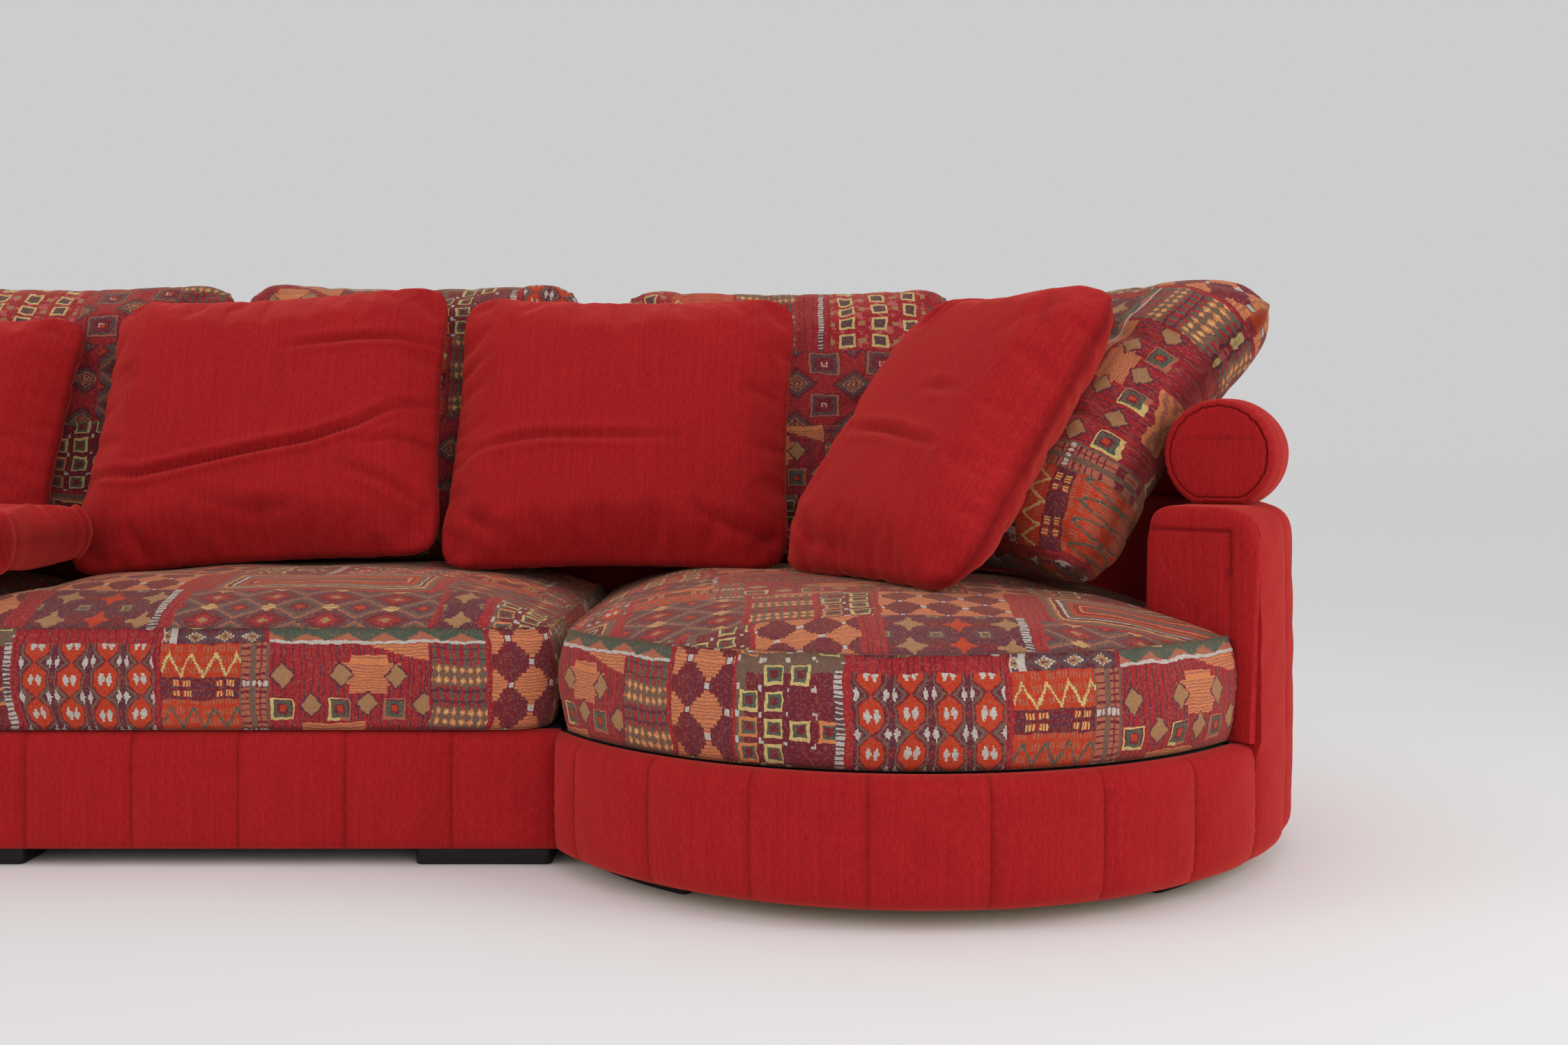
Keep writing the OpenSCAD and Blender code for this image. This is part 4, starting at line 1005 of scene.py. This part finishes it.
def seat(name, outline, centre, run_from, cloth_at, body, node, seed):
    """Seat cushion: rings of the outline through the levels. On the boxing the cloth runs with the
    outline from run_from, and on the crown it lies as seen from above from cloth_at."""
    chain = seat_levels()
    rings = levels(outline, centre, chain + (0, SEAT_Z))
    shares, heights = chain.T
    run = lengths(np.concatenate([outline, outline[:1]]))
    top = (np.arange(len(chain)) > np.argmax(heights > 0.1575)) & (heights > 0.15)
    flat = closed_cloth(rings)
    beside = np.stack(np.broadcast_arrays(run + run_from, heights[:, None]), 2)
    above = np.stack([flat[..., 0] + cloth_at[0], (flat[..., 1] + cloth_at[1]) * 1.06 + 0.157], 2)
    cloth = np.where(top[:, None, None], above, beside)
    soft = CROWN_WAVE * ripple(rings[..., 0], rings[..., 1], 0.34, 0.30, seed)
    rings[..., 2] += np.where(top[:, None], soft, 0.0) * np.clip((0.97 - shares) / 0.1, 0, 1)[:, None]
    edge = (bell(heights - 0.157, 0.020) * (heights > 0.1))[:, None]
    pull = SEAM_PULL * ripple(run[:-1], heights[:, None], 0.055, 0.4, seed + 1) * edge
    lump = SIDE_WAVE * ripple(run[:-1], heights[:, None], 0.33, 0.20, seed + 2)
    lump = lump * (heights > 0.01)[:, None]
    way = (rings[..., :2] - centre) / np.linalg.norm(rings[..., :2] - centre, axis=2, keepdims=True)
    side = ((shares > 0.9) & (heights > 0.003))[:, None]
    rings[..., :2] += way * ((pull + lump) * side)[..., None]
    # Painted shade along the two welted seams of the boxing.
    seam = bell(heights - UPPER_SEAM, 0.0016) * (shares > 0.95)
    seam = (seam + bell(heights - LOWER_SEAM, 0.003) * (shares > 0.96))[:, None]
    made = loft(name, rings, cloth, body, TAPESTRY, [node], np.clip(seam, 0, 1))


SEAT_GAP = 0.003
SEAT_OVERHANG = 0.007
SEAT_STEP = 0.012
ROUND_SEAT_INSET = 0.017
for module, left in STRAIGHT_MODULES:
    low = np.array((left + SEAT_INSET, FRONT_Y - SEAT_OVERHANG))
    high = np.array((left + MODULE_W - SEAT_GAP, ROUND_R - WALL_T - SEAT_GAP))
    outline = rectangle(low, high, SEAT_CORNER, SEAT_STEP)
    cloth_x = 0.380 if module == "middle" else 0.98
    corner_run = SEAT_CORNER * (np.pi / 2) - SEAT_CORNER
    seat(f"{module}_seat_cushion_form", outline, (low + high) / 2, low[0] + cloth_x - corner_run,
         (cloth_x, -low[1]), f"{module}_seat", f"{module}_seat_cushion", 41)
outer = ROUND_R - ROUND_SEAT_INSET
inner = ROUND_R - WALL_T - SEAT_GAP
start_x = -ROUND_REACH + SEAT_INSET
past_wall = 0.021
front_arc = np.linspace(np.pi + math.acos(-start_x / outer),
                        2 * np.pi - WALL_END - past_wall / outer, 120)
wall_arc = np.linspace(-WALL_END - past_wall / inner, np.pi / 2, 90)
corner_arc = np.pi / 2 + np.linspace(0, np.pi / 2, 8)
outline = np.concatenate([
    outer * circle(front_arc), inner * circle(wall_arc),
    (start_x + SEAT_CORNER, inner - SEAT_CORNER) + SEAT_CORNER * circle(corner_arc)])
outline = evenly(outline + (ROUND_X, 0.0), SEAT_STEP)
seat("round_seat_cushion_form", outline, ROUND_MIDDLE, 0.463, (-0.935, 0.62), "round_seat",
     "round_seat_cushion", 47)


# Back cushions and loose pillows
# Feather-filled cases of two panels sewn together at the rim, patchwork tapestry on the back
# cushions and red chenille on the pillows. They lean on the bolsters and on one another, and
# keep the folds of use.
PAD_STEP = 0.010


def blank(width, length, thick, fullness, draw, shape):
    """Closed case in its own frame, x across, z up and its face towards -y: a square grid is drawn
    to a rounded rectangle whose sides pull in, and each panel stands off by
    ((1 - |a|^p)(1 - |b|^p))^q of half the thickness. shape moves points in or out across."""
    power, root, corner = fullness
    a, b = np.meshgrid(np.linspace(-1, 1, round(width / PAD_STEP)),
                       np.linspace(-1, 1, round(length / PAD_STEP)), indexing="ij")
    largest = np.maximum(np.maximum(np.abs(a), np.abs(b)), 1e-9)
    round_off = (1 + (np.minimum(np.abs(a), np.abs(b)) / largest) ** corner) ** (-1 / corner)
    ra, rb = a * round_off, b * round_off
    x = width / 2 * ra * (1 - draw * (1 - rb**2))
    z = length / 2 + length / 2 * rb * (1 - draw * (1 - ra**2))
    left_in, right_in = shape
    x = x + np.where(a < 0, -1, 1) * np.abs(a) ** 2 * np.where(a < 0, left_in, right_in) * -(z / length)
    stand = thick / 2 * ((1 - np.abs(a) ** power) * (1 - np.abs(b) ** power)) ** root
    front = np.stack([x, -stand, z], 2)
    back = np.stack([x, stand, z], 2)
    rows, cols = a.shape
    ids = np.arange(rows * cols).reshape(rows, cols)
    rear = ids + rows * cols
    rim = np.ones((rows, cols), bool)
    rim[1:-1, 1:-1] = False
    rear = np.where(rim, ids, rear)
    used = np.unique(np.concatenate([ids.ravel(), rear.ravel()]))
    points = np.concatenate([front.reshape(-1, 3), back.reshape(-1, 3)])[used]
    ids, rear = np.searchsorted(used, ids), np.searchsorted(used, rear)
    return points, ids, rear, np.isin(np.arange(len(points)), ids[rim])


def set_down(points, length, pose):
    """A pad's points rolled in its own plane, bent backwards, leaned back and turned, in degrees."""
    roll, bend, lean, turn = np.radians(pose)
    x, y, z = points.T
    up = z - length / 2
    x, z = x * np.cos(roll) - up * np.sin(roll), length / 2 + x * np.sin(roll) + up * np.cos(roll)
    if bend:
        radius = length / bend
        y, z = radius - (radius - y) * np.cos(z / radius), (radius - y) * np.sin(z / radius)
    y, z = y * np.cos(lean) + z * np.sin(lean), z * np.cos(lean) - y * np.sin(lean)
    return np.stack([x * np.cos(turn) - y * np.sin(turn), x * np.sin(turn) + y * np.cos(turn), z], 1)


def fold(points, line, depth, width):
    """How far a fold draws the face in near its line: a trough as exp(-(d/width)^2) between two
    lower ridges, fading out towards the line's ends. Also how deep in the fold a point lies, for its
    painted shade."""
    line = np.array(line, float)
    run = lengths(line)
    even = np.linspace(0, run[-1], FOLD_SAMPLES)
    near = np.linalg.norm(points[:, None, ::2] - points_at(line, run, even), axis=2)
    nearest, which = near.min(1), near.argmin(1)
    fade = np.sin(np.pi * np.clip(even / run[-1], 0.04, 0.96)) ** 0.6
    trough = bell(nearest, width) - 0.5 * bell(nearest - 2.1 * width, width)
    return depth * fade[which] * trough, fade[which] * bell(nearest, 0.6 * width)


FOLD_SAMPLES = 70
# Folds this deep or deeper get their full painted shade.
DEEP_FOLD = 0.013
TAPESTRY_FULL = (6.0, 0.36, 11.0)
PILLOW_FULL = (3.0, 0.52, 11.0)
# Node, body, size, fullness, draw, left and right taper, pose, place on the cloth, folds
PADS = [
    ("back_cushion_far_left", "far_left_cushion", (0.6266, 0.590, 0.160), TAPESTRY_FULL, 0.02, (0, 0),
     (0, 0, 14, 0), (0.62, 0.17), [([(-0.2, 0.40), (0.05, 0.38), (0.2, 0.41)], 0.005, 0.014)]),
    ("back_cushion_left", "left_cushion", (0.694, 0.590, 0.160), TAPESTRY_FULL, 0.02, (0, 0),
     (0, 0, 14, 0), (0.20, 0.32), [([(-0.25, 0.36), (0.0, 0.39), (0.3, 0.36)], 0.005, 0.014)]),
    ("back_cushion_middle", "middle_cushion", (0.694, 0.590, 0.160), TAPESTRY_FULL, 0.02, (0, 0),
     (0, 0, 14, 0), (0.77, 0.46), [([(-0.3, 0.34), (0.0, 0.37), (0.25, 0.33)], 0.005, 0.014)]),
    ("back_cushion_right", "right_cushion", (0.694, 0.590, 0.160), TAPESTRY_FULL, 0.02, (0, 0),
     (0, 0, 14, 0), (-0.025, 0.32), [([(0.05, 0.30), (0.2, 0.33), (0.33, 0.31)], 0.005, 0.013)]),
    ("back_cushion_corner", "corner_cushion", (0.540, 0.640, 0.160), TAPESTRY_FULL, 0.02, (0.16, -0.02),
     (0, 28, 29, -58), (0.19, 0.28), [
         ([(-0.25, 0.40), (0.0, 0.43), (0.26, 0.41)], 0.008, 0.016),
         ([(0.05, 0.22), (0.18, 0.25), (0.27, 0.24)], 0.005, 0.012)]),
    ("pillow_far_left", "far_left_pillow", (0.560, 0.520, 0.150), PILLOW_FULL, 0.035, (0, 0),
     (0, 0, 23, 0), (0, 0), [([(-0.2, 0.17), (0.0, 0.19), (0.26, 0.14)], 0.008, 0.013)]),
    ("pillow_left", "left_pillow", (0.690, 0.570, 0.150), PILLOW_FULL, 0.035, (0.055, -0.012),
     (3.8, 0, 23, 0), (0, 0), [
         ([(-0.34, 0.205), (-0.27, 0.178), (-0.19, 0.165), (-0.086, 0.180), (0.0, 0.195), (0.118, 0.212),
           (0.20, 0.240), (0.28, 0.285), (0.34, 0.305)], 0.014, 0.0075),
         ([(0.06, 0.405), (0.2, 0.419), (0.335, 0.422)], 0.009, 0.0075),
         ([(0.20, 0.200), (0.27, 0.215), (0.34, 0.215)], 0.006, 0.0075),
         ([(-0.31, 0.375), (-0.22, 0.39)], 0.005, 0.009),
         ([(0.17, 0.165), (0.25, 0.135), (0.32, 0.09)], 0.006, 0.010),
         ([(-0.10, 0.12), (0.02, 0.09), (0.12, 0.10)], 0.004, 0.013)]),
    ("pillow_middle", "middle_pillow", (0.650, 0.570, 0.150), PILLOW_FULL, 0.035, (0.01, -0.018),
     (0, 0, 23, 0), (0, 0), [
         ([(-0.31, 0.195), (-0.23, 0.223), (-0.125, 0.235), (0.12, 0.232)], 0.008, 0.008),
         ([(-0.31, 0.38), (-0.24, 0.415)], 0.005, 0.009),
         ([(0.15, 0.10), (0.23, 0.07), (0.30, 0.055)], 0.007, 0.012),
         ([(-0.28, 0.11), (-0.20, 0.06)], 0.005, 0.012)]),
    ("pillow_corner", "corner_pillow", (0.530, 0.610, 0.150), (3.0, 0.52, 6.5), 0.035, (0.02, 0.01),
     (0, 0, 37, -58), (0, 0), [
         ([(-0.08, 0.60), (-0.088, 0.55), (-0.11, 0.48)], 0.010, 0.009),
         ([(-0.12, 0.250), (0.0, 0.240), (0.13, 0.215)], 0.009, 0.0085),
         ([(0.02, 0.33), (0.12, 0.325)], 0.004, 0.010),
         ([(0.15, 0.56), (0.19, 0.46)], 0.005, 0.014),
         ([(-0.22, 0.10), (-0.12, 0.05), (0.02, 0.045)], 0.006, 0.012)]),
    ("pillow_lying", "lying_pillow", (0.600, 0.390, 0.150), (9.0, 0.22, 9.0), 0.015, (0, 0),
     (0, 0, 90, 0), (0, 0), [([(0.0, 0.20), (0.14, 0.19), (0.27, 0.23)], 0.008, 0.013)]),
]
SUNK_INTO_ROLL = (0.020, 0.008, 0.0)
RIM_WAVE = 0.0035
cases = []
for k, (node, body, size, fullness, draw, taper, pose, cloth_at, folds) in enumerate(PADS):
    width, length, thick = size
    points, ids, rear, rim = blank(width, length, thick, fullness, draw, taper)
    straight_sided = set_down(blank(width, length, thick, fullness, draw, (0, 0))[0], length, pose)
    low, high = (np.array(corner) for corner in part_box(node))
    at = (low + high) / 2 - (straight_sided.min(0) + straight_sided.max(0)) / 2
    if node == "back_cushion_corner":
        at += SUNK_INTO_ROLL
    wave = RIM_WAVE * ripple(points[:, 0], points[:, 2], 0.24, 0.24, 60 + k)
    points[:, 1] += wave * rim
    points[:, 0] += 0.5 * wave * rim
    points[:, 2] += 0.3 * wave * rim
    flat = points[:, ::2]
    if node.startswith("pillow"):
        cloth = flat
    elif node.endswith("corner"):
        cloth = np.stack([flat[:, 1] + cloth_at[0], cloth_at[1] - flat[:, 0]], 1)
    else:
        cloth = flat + cloth_at
    look = RED if node.startswith("pillow") else TAPESTRY
    patches = [(ids, cloth[ids]), (rear, cloth[rear])]
    # The rim, where the two panels are sewn, is painted darker: painted shade in the seam.
    case = piece(f"{node}_case", points, patches, body, look, [node], rim)
    case.data.shade_smooth()
    held = case.vertex_groups.new(name="rim")
    held.add(np.flatnonzero(rim).tolist(), 1.0, "REPLACE")
    cases.append((case, node, length, pose, at, folds, points))

# The cloth is blown up by pressure for a few steps, held at its rim.
STUFFING = {
    "quality": 5, "tension_stiffness": 18.0, "compression_stiffness": 14.0, "bending_stiffness": 0.35,
    "use_pressure": True, "uniform_pressure_force": 4.0, "vertex_group_mass": "rim"}
CLOTH_STEPS = 20
MOST_SWELL = 0.024
for case, node, *_ in cases:
    stuffing = case.modifiers.new("stuffing", "CLOTH")
    for key, value in STUFFING.items():
        setattr(stuffing.settings, key, value)
    stuffing.settings.shrink_min = -0.05 if node.startswith("pillow") else -0.035
    stuffing.settings.effector_weights.gravity = 0.0
    stuffing.collision_settings.use_collision = False
    stuffing.point_cache.frame_start = 1
    stuffing.point_cache.frame_end = CLOTH_STEPS
for step in range(1, CLOTH_STEPS + 1):
    scene.frame_set(step)
seen = bpy.context.evaluated_depsgraph_get()
stuffed = []
for case, *_, points in cases:
    moved = np.empty(len(points) * 3)
    case.evaluated_get(seen).data.vertices.foreach_get("co", moved)
    shift = moved.reshape(-1, 3) - points
    far = np.linalg.norm(shift, axis=1, keepdims=True)
    stuffed.append(points + shift * np.minimum(1, MOST_SWELL / np.maximum(far, 1e-9)))
scene.frame_set(1)
for (case, node, length, pose, at, folds, _), points in zip(cases, stuffed):
    case.modifiers.clear()
    case.vertex_groups.clear()
    case.data.vertices.foreach_set("co", points.ravel())
    case.data.update()
    finer = case.modifiers.new("finer", "SUBSURF")
    finer.levels = finer.render_levels = 1
    seen = bpy.context.evaluated_depsgraph_get()
    smooth = bpy.data.meshes.new_from_object(case.evaluated_get(seen))
    case.modifiers.clear()
    coarse, case.data = case.data, smooth
    bpy.data.meshes.remove(coarse)
    placed = np.empty(len(smooth.vertices) * 3)
    smooth.vertices.foreach_get("co", placed)
    placed = placed.reshape(-1, 3)
    face = placed[:, 1] < 0
    shade = np.empty(len(placed))
    smooth.attributes["seam"].data.foreach_get("value", shade)
    # Each fold draws the face in and is painted darker along its trough: painted shade, darker in deeper
    # folds.
    for line, depth, width in folds:
        drawn_in, inside = fold(placed[face], line, depth, width)
        placed[face, 1] += drawn_in
        shade[face] = np.maximum(shade[face], min(1, depth / DEEP_FOLD) * inside)
    smooth.attributes["seam"].data.foreach_set("value", shade)
    smooth.vertices.foreach_set("co", (set_down(placed, length, pose) + at).ravel())
    smooth.update()


# Frame and fittings
# What the covers hide: softwood rails and blocks, plywood boards, bent hardboard, jute webbing,
# the dust cover and the steel connectors keep the CAD's shapes.
def object_place(place):
    return place.node("ShaderNodeTexCoord", {}, {}, 3)


def softwood(place):
    """Pale boards with long grain along the sofa."""
    grain = object_place(place).noise(1.0, (3.0, 90.0, 90.0), 5.0)
    return grain.mix(tint("B98E58"), tint("DDBD8A")), grain, 0.0005


def plies(place):
    """Plywood and hardboard: flecked faces."""
    fleck = object_place(place).noise(1.0, (40.0, 220.0, 220.0), 4.0)
    return fleck.mix(tint("B98F5D"), tint("DCC196")), fleck, 0.0003


def woven_jute(place):
    """Coarse plain-woven straps."""
    weave = object_place(place).woven(1400.0)
    return (weave * 0.25 + 0.5).mix(tint("8F7446"), tint("C9AE7B")), weave, 0.001


def pressed_felt(place):
    """Black non-woven cloth."""
    fuzz = object_place(place).noise(700.0, detail=3.0)
    return fuzz.mix(tint("141414"), tint("2B2A2A")), fuzz, 0.0004


def zinc(place):
    """Galvanised sheet with faint clouds."""
    cloud = object_place(place).noise(60.0, detail=3.0)
    return cloud.mix(tint("83878B"), tint("A9ADB0")), cloud, 0.0001


def flat_chenille(place):
    """The red cloth on flat side panels, its yarns upright."""
    across, upright = object_place(place).split(1, 2)
    return chenille(across.joined(upright))


STEEL = material("galvanised steel", zinc, 0.4)
STEEL.node_tree.nodes["Principled BSDF"].inputs["Metallic"].default_value = 1.0
FRAME_LOOKS = (
    (material("softwood", softwood, 0.7),
     ("front_rail", "back_rails", "side_rails", "corner_blocks", "base_blocks", "back_panel")),
    (material("plywood", plies, 0.7),
     ("uprights", "bottom_board", "deck_board", "base_skin", "wall_skins", "top_rail")),
    (material("jute webbing", woven_jute, 0.95), ("webbing",)),
    (material("dust cover", pressed_felt, 0.95), ("dust_cover",)),
    (STEEL, ("connector_blades", "connector_jaws")),
    (material("red side panels", flat_chenille, *CHENILLE_FINISH), ("side_panels",)))
for look, kinds in FRAME_LOOKS:
    for node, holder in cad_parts.items():
        if node.split("_", 1)[1] in kinds:
            holder.data.materials.clear()
            holder.data.materials.append(look)
